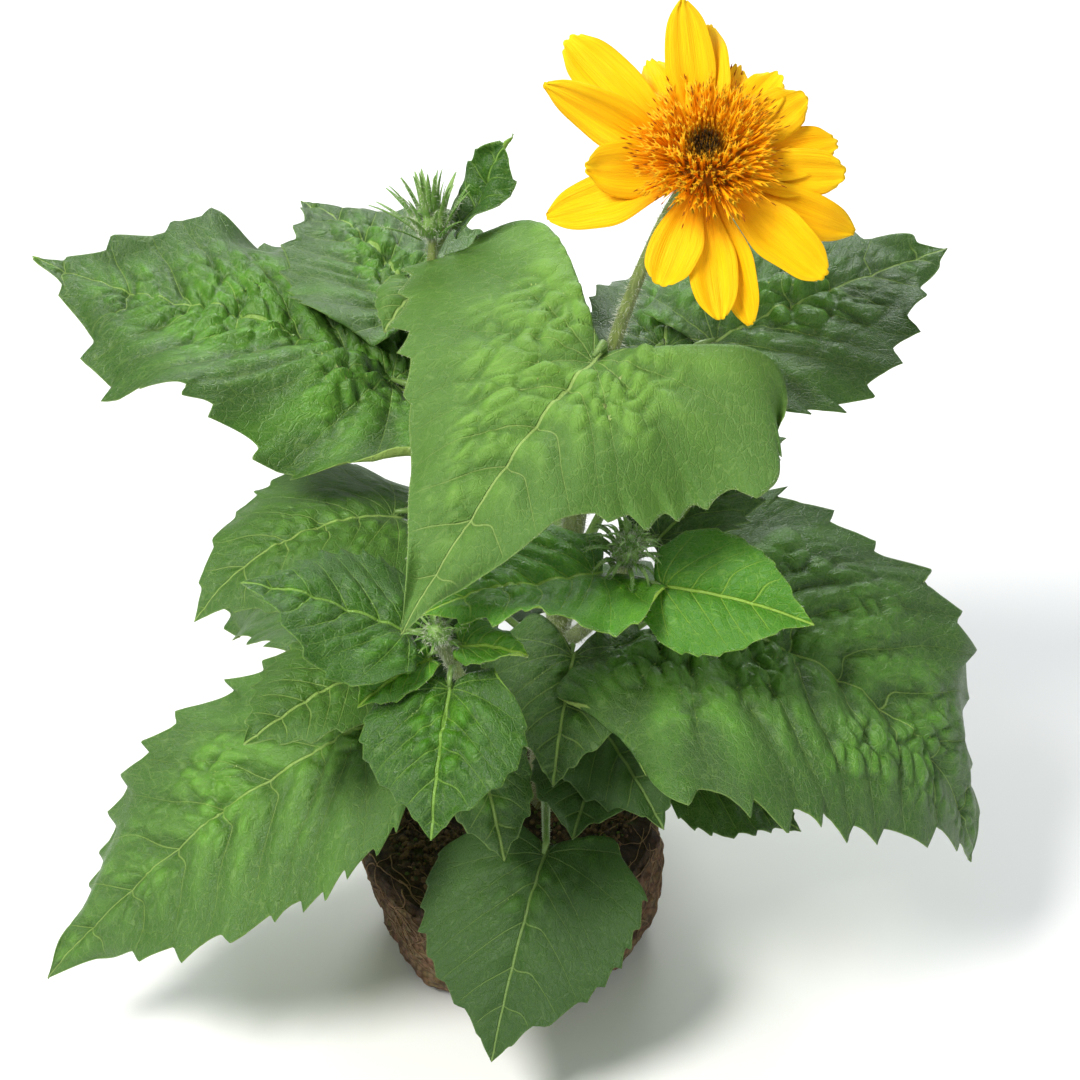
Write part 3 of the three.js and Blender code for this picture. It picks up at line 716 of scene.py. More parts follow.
def new_group(name, kind, inputs, outputs):
    """A node group with named sockets: (name, socket type, default) and (name, socket type)."""
    tree = bpy.data.node_groups.new(name, kind)
    for label, sort, default in inputs:
        socket = tree.interface.new_socket(label, in_out="INPUT", socket_type=sort)
        if default is not None:
            socket.default_value = default
    for label, sort in outputs:
        tree.interface.new_socket(label, in_out="OUTPUT", socket_type=sort)
    return tree, tree.nodes.new("NodeGroupInput").outputs, tree.nodes.new("NodeGroupOutput").inputs


def use_group(tree, group, **inputs):
    made = add_node(tree, "ShaderNodeGroup", node_tree=group)
    for key, value in inputs.items():
        plug(tree, made.inputs[key.replace("_", " ")], value)
    return made.outputs


FLOAT, COLOUR, VECTOR = "NodeSocketFloat", "NodeSocketColor", "NodeSocketVector"


def make_vein_group():
    """Crisp veins and the net between them, from the marks that each blade carries."""
    tree, given, result = new_group("Leaf veins", "ShaderNodeTree", [
        ("Veins", VECTOR, None), ("Place", VECTOR, None), ("Cells", VECTOR, None),
        ("Rib Width", FLOAT, 0.37), ("Net Size", FLOAT, 3.4),
    ], [("Rib", FLOAT), ("Net", FLOAT), ("Grain", FLOAT), ("Blister", FLOAT)])
    veins = parts_of(tree, given["Veins"])
    place = parts_of(tree, given["Place"])
    nearest = calc(tree, "ROUND", veins[0])
    off = times(tree, calc(tree, "ABSOLUTE", calc(tree, "SUBTRACT", veins[0], nearest)), veins[1])
    across = calc(tree, "ABSOLUTE", place[1])
    thin = fade(tree, across, 0.0, 55.0, 1.0, 0.35)
    side_width = times(tree, given["Rib Width"], thin)
    side = fade(tree, off, times(tree, side_width, 0.3), side_width, 1.0, 0.0)
    side = times(tree, side, fade(tree, place[2], 0.2, 5.0))
    mid_width = times(tree, given["Rib Width"], fade(tree, place[0], 0.0, 130.0, 2.3, 0.9))
    middle = fade(tree, across, times(tree, mid_width, 0.45), mid_width, 1.0, 0.0)
    side = times(tree, side, fade(tree, across, 2.0, 24.0, 0.7, 0.38))
    tree.links.new(calc(tree, "MAXIMUM", side, middle), result["Rib"])
    size = calc(tree, "DIVIDE", 1.0, given["Net Size"])
    wander = add_node(tree, "ShaderNodeTexNoise", {"Vector": given["Cells"], "Scale": 0.3, "Detail": 1.0})
    shift = add_node(tree, "ShaderNodeVectorMath", {0: wander.outputs["Color"], 1: (3.0, 3.0, 0.0)},
                     operation="MULTIPLY").outputs[0]
    moved = add_node(tree, "ShaderNodeVectorMath", {0: given["Cells"], 1: shift}, operation="ADD").outputs[0]
    nets = []
    for finer in (1.0, 2.4):
        cells = {"Vector": moved, "Scale": times(tree, size, finer), "Randomness": 0.9}
        edge = add_node(tree, "ShaderNodeTexVoronoi", cells, feature="DISTANCE_TO_EDGE",
                        voronoi_dimensions="3D").outputs["Distance"]
        nets.append(fade(tree, edge, 0.01, 0.085, 1.0, 0.0))
    fine = times(tree, nets[1], 0.45)
    tree.links.new(calc(tree, "MAXIMUM", nets[0], fine), result["Net"])
    tree.links.new(noise(tree, given["Place"], 1.6, 4.0, 0.6), result["Grain"])
    # Blister is 1 in the creases between rounded swellings; the leaf finish sinks these creases and paints
    # shade into them.
    swollen = {"Vector": moved, "Scale": times(tree, size, 0.62), "Smoothness": 0.5}
    bubble = add_node(tree, "ShaderNodeTexVoronoi", swollen, feature="SMOOTH_F1").outputs["Distance"]
    spread = calc(tree, "DIVIDE", across, calc(tree, "ADD", calc(tree, "ADD", across, place[2]), 0.5))
    inner = fade(tree, spread, 0.25, 0.85, 1.0, 0.1)
    tree.links.new(times(tree, fade(tree, bubble, 0.15, 0.75), inner), result["Blister"])
    return tree


def make_tint_group():
    """A colour that wanders a little in lightness and towards a second colour over the piece."""
    tree, given, result = new_group("Uneven tint", "ShaderNodeTree", [
        ("Color", COLOUR, (0.2, 0.3, 0.1, 1)), ("Second", COLOUR, (0.1, 0.2, 0.1, 1)),
        ("Patch Size", FLOAT, 0.02), ("Share", FLOAT, 0.6),
    ], [("Color", COLOUR)])
    scale = calc(tree, "DIVIDE", 1.0, given["Patch Size"])
    spread = noise(tree, object_place(tree), scale, 4.0, 0.6, 0.3)
    mask = times(tree, fade(tree, spread, 0.36, 0.66), given["Share"])
    tree.links.new(blend(tree, mask, given["Color"], given["Second"]), result["Color"])
    return tree


def use_tint(tree, tint, colours, patch, share):
    first, second = colours
    return use_group(tree, tint, Color=colour(first), Second=colour(second), Patch_Size=patch,
                     Share=share)["Color"]


def new_material(name, **constants):
    """An empty material with its shader; constants go on the shader's own sockets."""
    material = bpy.data.materials.new(name)
    material.use_nodes = True
    tree = material.node_tree
    shader = tree.nodes["Principled BSDF"]
    for key, value in constants.items():
        shader.inputs[key.replace("_", " ")].default_value = value
    return material, tree, shader.inputs


def set_bump(tree, shader, height, distance, strength=1.0):
    values = {"Height": height, "Distance": distance, "Strength": strength}
    tree.links.new(add_node(tree, "ShaderNodeBump", values).outputs["Normal"], shader["Normal"])


def object_place(tree):
    return add_node(tree, "ShaderNodeTexCoord").outputs["Object"]


@dataclass
class LeafFinish:
    fresh: str                 # the blade's colour on its blisters, and the one painted as shade in its hollows and creases
    deep: str
    vein: str
    under: str
    gloss: float               # roughness of the upper skin
    net: float                 # how far the net of small veins shows
    blister: float             # how deep the creases between its blisters are, and how dark their painted shade is


LEAF_FINISHES = {
    "mature": LeafFinish("50881f", "1d420c", "9fbe60", "86a04c", 0.3, 0.10, 0.42),
    "low": LeafFinish("3a6813", "1d4208", "86a355", "7a9846", 0.42, 0.06, 0.22),
    "top": LeafFinish("689831", "386316", "a8c16c", "90a858", 0.5, 0.08, 0.06),
    "pale": LeafFinish("639a30", "2b5412", "a6c466", "8aa550", 0.34, 0.10, 0.35),
    "inner": LeafFinish("437f0e", "1b4504", "8fba4c", "84a83e", 0.27, 0.12, 0.42),
    "young": LeafFinish("64a80f", "2b6e06", "acd052", "90b43e", 0.3, 0.12, 0.35),
}


def make_leaf_material(kind, veins, tint):
    look = LEAF_FINISHES[kind]
    material, tree, shader = new_material("Leaf " + kind, Sheen_Weight=0.02, Sheen_Roughness=0.45,
                                          Specular_IOR_Level=0.42)
    marks = {key: mark(tree, "blade_" + key.lower(), "Vector") for key in ("Veins", "Place", "Cells")}
    drawn = use_group(tree, veins, **marks)
    relief = parts_of(tree, marks["Veins"])[2]
    skin = use_tint(tree, tint, (look.fresh, look.deep), 0.03, 0.42)
    # Painted shade: the deep green darkens the low places of the quilting and the creases between the
    # blisters.
    for share, code in ((fade(tree, relief, 0.0, 2.2, 0.8, 0.0), look.deep),
                        (times(tree, drawn["Blister"], look.blister), look.deep),
                        (fade(tree, drawn["Grain"], 0.35, 0.75, 0.0, 0.12), look.vein),
                        (times(tree, drawn["Net"], look.net), look.vein),
                        (times(tree, drawn["Rib"], 0.55), look.vein)):
        skin = blend(tree, share, skin, colour(code))
    under = blend(tree, times(tree, drawn["Net"], 0.4), colour(look.under), colour(look.vein))
    under = blend(tree, times(tree, drawn["Rib"], 0.9), under, colour(RIB_BELOW))
    skin = blend(tree, mark(tree, "blade_under"), skin, under)
    place = parts_of(tree, marks["Place"])
    rim = fade(tree, place[2], 0.0, 0.6, 0.3, 0.0)
    skin = blend(tree, rim, skin, colour(look.vein))
    stalk = blend(tree, noise(tree, object_place(tree), 160.0, 3.0), *map(colour, STALK_GREENS))
    skin = blend(tree, mark(tree, "blade_stalk"), skin, stalk)
    tree.links.new(skin, shader["Base Color"])
    rough = fade(tree, drawn["Grain"], 0.3, 0.7, look.gloss - 0.05, look.gloss + 0.14)
    tree.links.new(calc(tree, "MAXIMUM", rough, times(tree, mark(tree, "blade_under"), 0.75)),
                   shader["Roughness"])
    sunk = times(tree, drawn["Rib"], -0.55)
    net = times(tree, drawn["Net"], -0.17)
    grain = times(tree, drawn["Grain"], 0.34)
    creases = times(tree, drawn["Blister"], -2.4 * look.blister)
    height = calc(tree, "ADD", calc(tree, "ADD", calc(tree, "ADD", sunk, net), grain), creases)
    facing = fade(tree, mark(tree, "blade_under"), 0.2, 0.8, 1.0, -1.0)
    set_bump(tree, shader, times(tree, height, facing), 0.0011, 0.8)
    return material


def make_stem_material(tint):
    material, tree, shader = new_material("Stem skin", Roughness=0.55, Sheen_Weight=0.25)
    tinted = use_tint(tree, tint, STEM_GREENS, 0.012, 0.8)
    streak = add_node(tree, "ShaderNodeMapping", {"Vector": object_place(tree), "Scale": (1400, 1400, 90)})
    lines = noise(tree, streak.outputs[0], 1.0, 3.0, 0.6)
    skin = blend(tree, fade(tree, lines, 0.42, 0.68, 0.0, 0.45), tinted, colour(STEM_STREAK))
    place = parts_of(tree, object_place(tree))
    foot = fade(tree, place[2], 0.055, 0.12, 0.6, 0.0)
    skin = blend(tree, foot, skin, colour(STEM_FOOT))
    tree.links.new(skin, shader["Base Color"])
    set_bump(tree, shader, lines, 0.0005, 0.8)
    return material


def make_plain_material(name, first, second, patch, roughness, tint):
    """A finish of two colours in patches, with a fine grain."""
    material, tree, shader = new_material(name, Roughness=roughness)
    tree.links.new(use_tint(tree, tint, (first, second), patch, 0.9), shader["Base Color"])
    set_bump(tree, shader, noise(tree, object_place(tree), 900.0, 4.0), 0.0003, 0.7)
    return material


def make_ray_material():
    """Bright yellow with an orange foot, and fine veins down the length of each ray."""
    material, tree, shader = new_material("Ray floret", Specular_IOR_Level=0.18, Roughness=0.6)
    place = mark(tree, "ray_place", "Vector")
    parts = parts_of(tree, place)
    skin = blend(tree, fade(tree, parts[0], 0.05, 0.55, 1.0, 0.0), colour(RAY_YELLOW), colour(RAY_FOOT))
    stretch = add_node(tree, "ShaderNodeMapping", {"Vector": place, "Scale": (1.2, 16.0, 7.0)}).outputs[0]
    lines = noise(tree, stretch, 1.6, 3.0, 0.6)
    skin = blend(tree, fade(tree, lines, 0.4, 0.7, 0.0, 0.5), skin, colour(RAY_VEIN))
    skin = blend(tree, fade(tree, parts[0], 0.86, 1.0, 0.0, 0.35), skin, colour(RAY_TIP))
    tree.links.new(skin, shader["Base Color"])
    set_bump(tree, shader, lines, 0.0006, 0.7)
    return material


def make_floret_material():
    """Orange yellow tubes, dark brown in the middle of the disc."""
    material, tree, shader = new_material("Disc floret", Roughness=0.6, Specular_IOR_Level=0.2)
    height = mark(tree, "copy_height")
    chance = fade(tree, mark(tree, "copy_chance"), 0.0, 1.0, 0.0, 0.7)
    middle = fade(tree, mark(tree, "copy_share"), 0.08, 0.34, 1.0, 0.0)
    tube_colour = blend(tree, height, colour(FLORET_FOOT), colour(FLORET_TIP))
    tube_colour = blend(tree, chance, tube_colour, colour(FLORET_ODD))
    dark = blend(tree, height, colour(MIDDLE_FOOT), colour(MIDDLE_TIP))
    skin = blend(tree, middle, tube_colour, dark)
    tree.links.new(skin, shader["Base Color"])
    set_bump(tree, shader, noise(tree, object_place(tree), 1500.0, 3.0), 0.0003, 0.6)
    return material


def make_style_material():
    material, tree, shader = new_material("Style", Roughness=0.8, Specular_IOR_Level=0.1)
    tip = fade(tree, mark(tree, "copy_height"), 0.84, 0.92)
    tree.links.new(blend(tree, tip, colour(STYLE_THREAD), colour(STYLE_KNOB)), shader["Base Color"])
    set_bump(tree, shader, noise(tree, object_place(tree), 1500.0, 3.0), 0.0002, 0.5)
    return material


def make_compost_material(tint):
    material, tree, shader = new_material("Compost", Roughness=0.92, Specular_IOR_Level=0.25)
    where = object_place(tree)
    tinted = use_tint(tree, tint, COMPOST_BROWNS, 0.022, 0.85)
    crumbs = add_node(tree, "ShaderNodeTexVoronoi", {"Vector": where, "Scale": 420.0}).outputs
    skin = blend(tree, 0.22, tinted, crumbs["Color"], "MULTIPLY")
    # Painted shade: the darkest brown fills the crevices between the crumbs, where the bump sinks them.
    skin = blend(tree, fade(tree, crumbs["Distance"], 0.35, 0.75, 0.0, 0.55), skin, colour(COMPOST_CREVICE_SHADE))
    height = parts_of(tree, where)[2]
    top = fade(tree, height, 0.040, 0.050)
    skin = blend(tree, times(tree, top, 0.82), skin, colour(COMPOST_TOP))
    moss = fade(tree, noise(tree, where, 60.0, 3.0), 0.56, 0.68)
    skin = blend(tree, times(tree, moss, times(tree, top, 0.6)), skin, colour(COMPOST_MOSS))
    tree.links.new(skin, shader["Base Color"])
    pits = times(tree, crumbs["Distance"], -0.8)
    grain = calc(tree, "ADD", noise(tree, where, 700.0, 5.0, 0.7), pits)
    set_bump(tree, shader, grain, 0.0016, 1.0)
    return material


MATERIALS = {}


def prepare_materials():
    if MATERIALS:
        return
    veins, tint = make_vein_group(), make_tint_group()
    for kind in LEAF_FINISHES:
        MATERIALS[kind] = make_leaf_material(kind, veins, tint)
    for key, finish in PLAIN_FINISHES.items():
        MATERIALS[key] = make_plain_material(*finish, tint)
    MATERIALS.update(stem=make_stem_material(tint), ray=make_ray_material(), floret=make_floret_material(),
                     style=make_style_material(), compost=make_compost_material(tint))


# ---- growth trees -------------------------------------------------------------------------
GEOMETRY, WHOLE, THING, FINISH = ("NodeSocketGeometry", "NodeSocketInt", "NodeSocketObject",
                                  "NodeSocketMaterial")
GOLDEN_ANGLE = math.pi * (3 - math.sqrt(5))


def finish_growth(tree, instances, material, result):
    """Ends a growth tree: its copies are made real and take their material."""
    real = add_node(tree, "GeometryNodeRealizeInstances", {"Geometry": instances}).outputs[0]
    done = add_node(tree, "GeometryNodeSetMaterial", {"Geometry": real, "Material": material})
    tree.links.new(done.outputs[0], result["Geometry"])


def random_number(tree, low, high, seed, kind="FLOAT"):
    made = add_node(tree, "FunctionNodeRandomValue", data_type=kind)
    numbered = [socket for socket in made.inputs if socket.enabled]
    for socket, value in zip(numbered, (low, high)):
        plug(tree, socket, value)
    plug(tree, [socket for socket in made.inputs if socket.name == "Seed"][0], seed)
    return [socket for socket in made.outputs if socket.enabled][0]


def make_scatter_tree():
    """Scatters copies of one small shape over a surface, each standing off it at a random lean."""
    tree, given, result = new_group("Scatter on skin", "GeometryNodeTree", [
        ("Geometry", GEOMETRY, None), ("Source", THING, None), ("Density", FLOAT, 1000.0),
        ("Smallest", FLOAT, 0.5), ("Largest", FLOAT, 1.0), ("Lean", FLOAT, 0.4),
        ("Seed", WHOLE, 0), ("Material", FINISH, None),
    ], [("Geometry", GEOMETRY)])
    spread = add_node(tree, "GeometryNodeDistributePointsOnFaces",
                      {"Mesh": given["Geometry"], "Density": given["Density"], "Seed": given["Seed"]})
    source = add_node(tree, "GeometryNodeObjectInfo", {"Object": given["Source"]})
    lean = add_node(tree, "ShaderNodeCombineXYZ", {"X": given["Lean"], "Y": given["Lean"], "Z": math.pi})
    back = add_node(tree, "ShaderNodeVectorMath", {0: lean.outputs[0], "Scale": -1.0}, operation="SCALE")
    turn = random_number(tree, back.outputs[0], lean.outputs[0], given["Seed"], "FLOAT_VECTOR")
    turned = add_node(tree, "FunctionNodeRotateRotation", {0: spread.outputs["Rotation"], 1: turn},
                      rotation_space="LOCAL")
    size = random_number(tree, given["Smallest"], given["Largest"], given["Seed"])
    copies = add_node(tree, "GeometryNodeInstanceOnPoints", {
        "Points": spread.outputs["Points"], "Instance": source.outputs["Geometry"],
        "Rotation": turned.outputs[0], "Scale": size})
    finish_growth(tree, copies.outputs[0], given["Material"], result)
    return tree


def make_whorl_tree():
    """Sets copies of one shape in a golden-angle spiral, changing evenly from the middle outwards."""
    ends = [("Radius", 0.001, 0.01), ("Lean", 0.0, 1.0), ("Size", 0.004, 0.01), ("Height", 0.004, 0.0)]
    sockets = [("Geometry", GEOMETRY, None), ("Source", THING, None), ("Count", WHOLE, 40)]
    for label, first, last in ends:
        sockets += [("First " + label, FLOAT, first), ("Last " + label, FLOAT, last)]
    sockets += [("Size Jitter", FLOAT, 0.15), ("Lean Jitter", FLOAT, 0.1), ("Seed", WHOLE, 0),
                ("Material", FINISH, None)]
    tree, given, result = new_group("Golden whorl", "GeometryNodeTree", sockets, [("Geometry", GEOMETRY)])
    index = add_node(tree, "GeometryNodeInputIndex").outputs[0]
    last = calc(tree, "SUBTRACT", given["Count"], 1.0)
    share = calc(tree, "DIVIDE", index, calc(tree, "MAXIMUM", last, 1.0))

    def between(label, part):
        span = calc(tree, "SUBTRACT", given["Last " + label], given["First " + label])
        return calc(tree, "MULTIPLY_ADD", span, part, given["First " + label])

    angle = times(tree, index, GOLDEN_ANGLE)
    angle = calc(tree, "ADD", angle, random_number(tree, -0.12, 0.12, given["Seed"]))
    radius = between("Radius", calc(tree, "SQRT", share))
    place = add_node(tree, "ShaderNodeCombineXYZ", {
        "X": times(tree, radius, calc(tree, "COSINE", angle)),
        "Y": times(tree, radius, calc(tree, "SINE", angle)),
        "Z": between("Height", share)}).outputs[0]
    points = add_node(tree, "GeometryNodePoints", {"Count": given["Count"], "Position": place}).outputs[0]
    seed = calc(tree, "ADD", given["Seed"], 7.0)
    sway = random_number(tree, times(tree, given["Lean Jitter"], -1.0), given["Lean Jitter"], seed)
    lean = calc(tree, "ADD", between("Lean", share), sway)
    turn = add_node(tree, "ShaderNodeCombineXYZ", {"X": 0.0, "Y": lean, "Z": angle}).outputs[0]
    spare = calc(tree, "ADD", given["Seed"], 13.0)
    grown = random_number(tree, calc(tree, "SUBTRACT", 1.0, given["Size Jitter"]),
                          calc(tree, "ADD", 1.0, given["Size Jitter"]), spare)
    size = times(tree, between("Size", share), grown)
    source = add_node(tree, "GeometryNodeObjectInfo", {"Object": given["Source"]})
    copies = add_node(tree, "GeometryNodeInstanceOnPoints", {
        "Points": points, "Instance": source.outputs["Geometry"],
        "Rotation": add_node(tree, "FunctionNodeEulerToRotation", {0: turn}).outputs[0], "Scale": size})
    kept = copies.outputs[0]
    last_seed = calc(tree, "ADD", given["Seed"], 29.0)
    chance = random_number(tree, 0.0, 1.0, last_seed)
    for label, value in (("copy_share", share), ("copy_chance", chance)):
        stored = add_node(tree, "GeometryNodeStoreNamedAttribute",
                          {"Geometry": kept, "Name": label}, data_type="FLOAT", domain="INSTANCE")
        tree.links.new(value, [s for s in stored.inputs if s.name == "Value" and s.enabled][0])
        kept = stored.outputs[0]
    finish_growth(tree, kept, given["Material"], result)
    return tree


TREES = {}


def grow(kind, ground, name, **values):
    """Runs a growth tree, on an object or on nothing, and returns its growth as a plain mesh."""
    if not TREES:
        TREES.update(scatter=make_scatter_tree(), whorl=make_whorl_tree())
    tree = TREES[kind]
    bare = ground is None
    if bare:
        ground = add_object("ground", bpy.data.meshes.new("ground"))
    modifier = ground.modifiers.new("growth", "NODES")
    modifier.node_group = tree
    sockets = {item.name: item.identifier for item in tree.interface.items_tree
               if item.item_type == "SOCKET" and item.in_out == "INPUT"}
    for key, value in values.items():
        modifier[sockets[key.replace("_", " ")]] = value
    ground.update_tag()
    bpy.context.view_layer.update()
    graph = bpy.context.evaluated_depsgraph_get()
    mesh = bpy.data.meshes.new_from_object(ground.evaluated_get(graph), preserve_all_data_layers=True,
                                           depsgraph=graph)
    ground.modifiers.remove(modifier)
    if bare:
        discard(ground)
    mesh.name = name
    if not mesh.polygons:
        raise RuntimeError(f"nothing grew for {name}")
    mesh.polygons.foreach_set("use_smooth", np.ones(len(mesh.polygons), bool))
    return add_object(name, mesh)


def scatter(ground, name, source, material, density, sizes, lean, seed):
    """Copies of a shape over an object's skin, of sizes between a smallest and a largest."""
    return grow("scatter", ground, name, Source=source, Density=density, Smallest=sizes[0],
                Largest=sizes[1], Lean=lean, Seed=seed, Material=MATERIALS[material])


def whorl(name, source, material, count, seed, jitter, **spans):
    """Copies of a shape in a golden spiral; each span is what it has in the middle and at the rim."""
    values = {}
    for label, (first, last) in spans.items():
        values.update({"First_" + label: first, "Last_" + label: last})
    return grow("whorl", None, name, Source=source, Count=count, Seed=seed, Size_Jitter=jitter[0],
                Lean_Jitter=jitter[1], Material=MATERIALS[material], **values)


def discard(*things):
    for thing in things:
        mesh = thing.data
        bpy.data.objects.remove(thing)
        bpy.data.meshes.remove(mesh)


def merge(name, things):
    """Joins finished mesh objects into one, keeping their marks and materials."""
    with bpy.context.temp_override(active_object=things[0], object=things[0],
                                   selected_objects=things, selected_editable_objects=things):
        bpy.ops.object.join()
    things[0].name = name
    things[0].data.name = name
    return things[0]


# ---- small shapes that are copied ---------------------------------------------------------
UNIT = 1000          # each is drawn one metre tall, and sized where it is copied


def make_hair():
    """A curved pointed hair one unit long, standing on the origin."""
    part = np.linspace(0, 1, 3)
    path = np.stack([0.18 * part ** 2, 0 * part, part - 0.05], -1) * UNIT
    places, blocks = tube(path, (0.045 * (1 - part) + 0.004) * UNIT, 3)
    return make_object("hair_shape", places, blocks)


def make_floret():
    """A narrow floret one unit long with a slightly swollen tube and three pointed lobes."""
    heights = [0.0, 0.35, 0.62, 0.8]
    radii = [0.02, 0.028, 0.033, 0.038]
    turn = np.arange(6) * np.pi / 3
    ring = np.stack([np.cos(turn), np.sin(turn), 0 * turn], -1)
    rings = [ring * radius + [0, 0, height] for height, radius in zip(heights, radii)]
    lobes = ring * np.where(np.arange(6) % 2, 0.032, 0.07)[:, None]
    lobes[:, 2] = np.where(np.arange(6) % 2, 0.82, 1.0)
    places = np.concatenate([*rings, lobes, [[0, 0, -0.01]], [[0, 0, 0.79]]]) * UNIT
    thing = make_object("floret_shape", places, ring_faces(5, 6))
    store(thing, "copy_height", places[:, 2] / UNIT)
    return thing


def make_style():
    """A thread one unit long with a small dark knob at its end."""
    part = np.array([0.0, 0.5, 0.86, 0.93, 1.0])
    path = np.stack([0.12 * part ** 2, 0 * part, part], -1) * UNIT
    places, blocks = tube(path, np.array([0.009, 0.009, 0.010, 0.016, 0.005]) * UNIT, 4)
    thing = make_object("style_shape", places, blocks)
    store(thing, "copy_height", places[:, 2] / UNIT)
    return thing


def make_bract(name, breadth, hook, cup):
    """A pointed bract one unit long that stands on the origin and bends over towards +X."""
    u, v = np.meshgrid(np.linspace(0, 1, 12), np.linspace(-1, 1, 7), indexing="ij")
    half = breadth * (0.6 + 1.1 * u) * (1 - u) + 0.006
    bend = hook * u ** 1.6
    climb = np.cumsum(np.cos(bend), 0) / 11 - np.cos(bend[:1]) / 11
    out = np.cumsum(np.sin(bend), 0) / 11
    inward = cup * half * (1 - v ** 2) - 0.02 * np.cos(3 * np.pi * v) * half
    surface = np.stack([out + inward * np.cos(bend), half * v, climb - inward * np.sin(bend)], -1)
    places, faces = thin_solid(surface * UNIT, 13.0)
    return make_object(name, places, [faces])


def make_crumb():
    """A lump with a dozen corners."""
    phi = (1 + math.sqrt(5)) / 2
    corners = [(a, b * phi, 0) for a in (-1, 1) for b in (-1, 1)]
    corners += [(0, a, b * phi) for a in (-1, 1) for b in (-1, 1)]
    corners += [(b * phi, 0, a) for a in (-1, 1) for b in (-1, 1)]
    places = np.array(corners, float) / 1.9 * [1.15, 0.9, 0.8]
    faces = []
    for one in range(12):
        for two in range(one + 1, 12):
            for three in range(two + 1, 12):
                group = np.array([corners[one], corners[two], corners[three]], float)
                sides = [np.linalg.norm(group[a] - group[(a + 1) % 3]) for a in range(3)]
                if max(sides) < 2.01:
                    normal = np.cross(group[1] - group[0], group[2] - group[0])
                    order = (one, two, three) if normal @ group.sum(0) > 0 else (one, three, two)
                    faces.append(order)
    places += 0.12 * np.stack([smooth_noise(places * 1.7, seed) for seed in (1, 2, 3)], -1)
    return make_object("crumb_shape", places * UNIT, [np.array(faces)], smooth=False)


# ---- stem and shoots ----------------------------------------------------------------------
LIMBS = ("stem", "shoot_left", "shoot_right", "shoot_front")
STEM_LEAD, SHOOT_LEAD = 12.0, 8.0    # how far each starts before its first packed ring
LIMB_CORNERS, LIMB_RIBS = 28, 7
KNOT_REACH = 5                       # how far the stem swells about a stalk's foot
NECK = (210, 275)                    # the heights between which the stem thins towards the head


def build_limb(name):
    """A limb as a ribbed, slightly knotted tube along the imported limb."""
    centres, radii = limb_rings(name)
    lead = STEM_LEAD if name == "stem" else SHOOT_LEAD
    centres = np.concatenate([centres[:1] - unit(centres[1] - centres[0]) * lead, centres])
    radii = np.concatenate([radii[:1], radii])
    path, path_radii = smooth_path(centres, radii, 1.0)
    if name == "stem":
        path = path[path[:, 2] > centres[1][2] - 6]
        path_radii = path_radii[-len(path):]
    knots = np.zeros(len(path))
    for leaf_name, leaf in LEAVES.items():
        foot = blade_base(leaf_name, leaf) - direction(leaf.stalk[1], leaf.stalk[2]) * leaf.stalk[0]
        reach = np.linalg.norm(path - foot, axis=1)
        knots += np.exp(-(reach / KNOT_REACH) ** 2) * (reach.min() < 3)
    swell = 1 + 0.16 * np.minimum(knots, 1.4) + 0.03 * smooth_noise(path / 9, 4)
    swell = swell * (1 - 0.26 * smooth_step(*NECK, path[:, 2]))
    places, blocks = tube(path, path_radii * swell, LIMB_CORNERS, LIMB_RIBS, rib_depth=0.045, twist=0.004)
    limb = make_object(name + "_skin", places, blocks)
    finish_piece(limb, MATERIALS["stem"], "stem", name)
    return limb


def hair_limbs(limbs, hair):
    """White hairs on the limbs, each of a random length."""
    coats = []
    for number, limb in enumerate(limbs):
        coats.append(scatter(limb, limb.name + "_coat", hair, "hair", 0.78e6, (0.0007, 0.0025), 0.55,
                             number))
    finish_piece(merge("limb_hairs", coats), MATERIALS["hair"], "stem")


def hair_parts(parts, name, slot, hair, density, sizes, lean, seed):
    """White hairs over (places, face blocks) parts, which are drawn only to grow them."""
    places, blocks = join_parts(parts)
    skin = make_object("skin", places, blocks)
    coat = scatter(skin, name, hair, "hair", density, sizes, lean, seed)
    discard(skin)
    finish_piece(coat, MATERIALS["hair"], slot)


# ---- flower head --------------------------------------------------------------------------
HEAD_FACING = direction(-95, 28)
RAY_PLANE_DEPTH = 1.8            # from the disc's back to the plane of the rays
RAY_ROOT = 5.0
RAY_GATHER = np.array([-3.5, -8.0, 0.0])     # where the rays' lines meet, low on the head
DISC_TILT = math.radians(-24)                # the disc looks up more than the rays do
DISC_LIFT = 0.0014
SEAT_RADIUS, SEAT_DOME, SEAT_EDGE, SEAT_FOOT = 13.5, 4.0, 0.4, -1.0    # the dome that carries the florets
SEAT_SIDES = 48
MIDDLE_SHARE = 0.36              # of the florets, the dark short ones in the middle
STYLE_SHARE = 0.34               # styles to a floret
# Each ray: clock angle (0 up, clockwise facing the bloom), length from the head's axis, width,
# how far its tip stands forward (+) or back (-), how blunt it ends and how far it twists, radians.
RAYS = [
    (352, 46, 16, 3, 0.16, 0.1), (2, 38, 14, -6, 0.3, 0.0), (42, 31, 15, -4, 0.5, -0.3),
    (60, 33, 16, 0, 0.55, 0.2), (92, 40, 16, -7, 0.4, 0.0), (104, 43, 16, -1, 0.6, 0.15),
    (124, 53, 16, -8, 0.2, -0.2), (138, 54, 17, 1, 0.36, 0.1), (167, 57, 14, 2, 0.24, 0.25),
    (179, 54, 16, 6, 0.3, -0.2), (200, 46, 17, 8, 0.48, 0.15), (250, 56, 18, 0, 0.2, 0.1),
    (260, 40, 20, 11, 0.36, -0.3), (291, 56, 21, 4, 0.2, -0.75), (307, 57, 18, -4, 0.5, 0.3),
    (327, 34, 14, -8, 0.4, 0.0), (23, 27, 13, -7, 0.4, 0.1),
]
SHORT_RAYS = range(100, 262, 13)             # clock angles of the small curled ones at the disc's foot


def head_frame():
    """The middle of the ray plane, and the head's right, up and facing directions."""
    right = unit(np.cross([0, 0, 1.0], HEAD_FACING))
    up = np.cross(HEAD_FACING, right)
    disc = node_places("flower_disc")
    middle = disc.mean(0)
    back = ((disc - middle) @ HEAD_FACING).min()
    return middle + HEAD_FACING * (back - RAY_PLANE_DEPTH), right, up


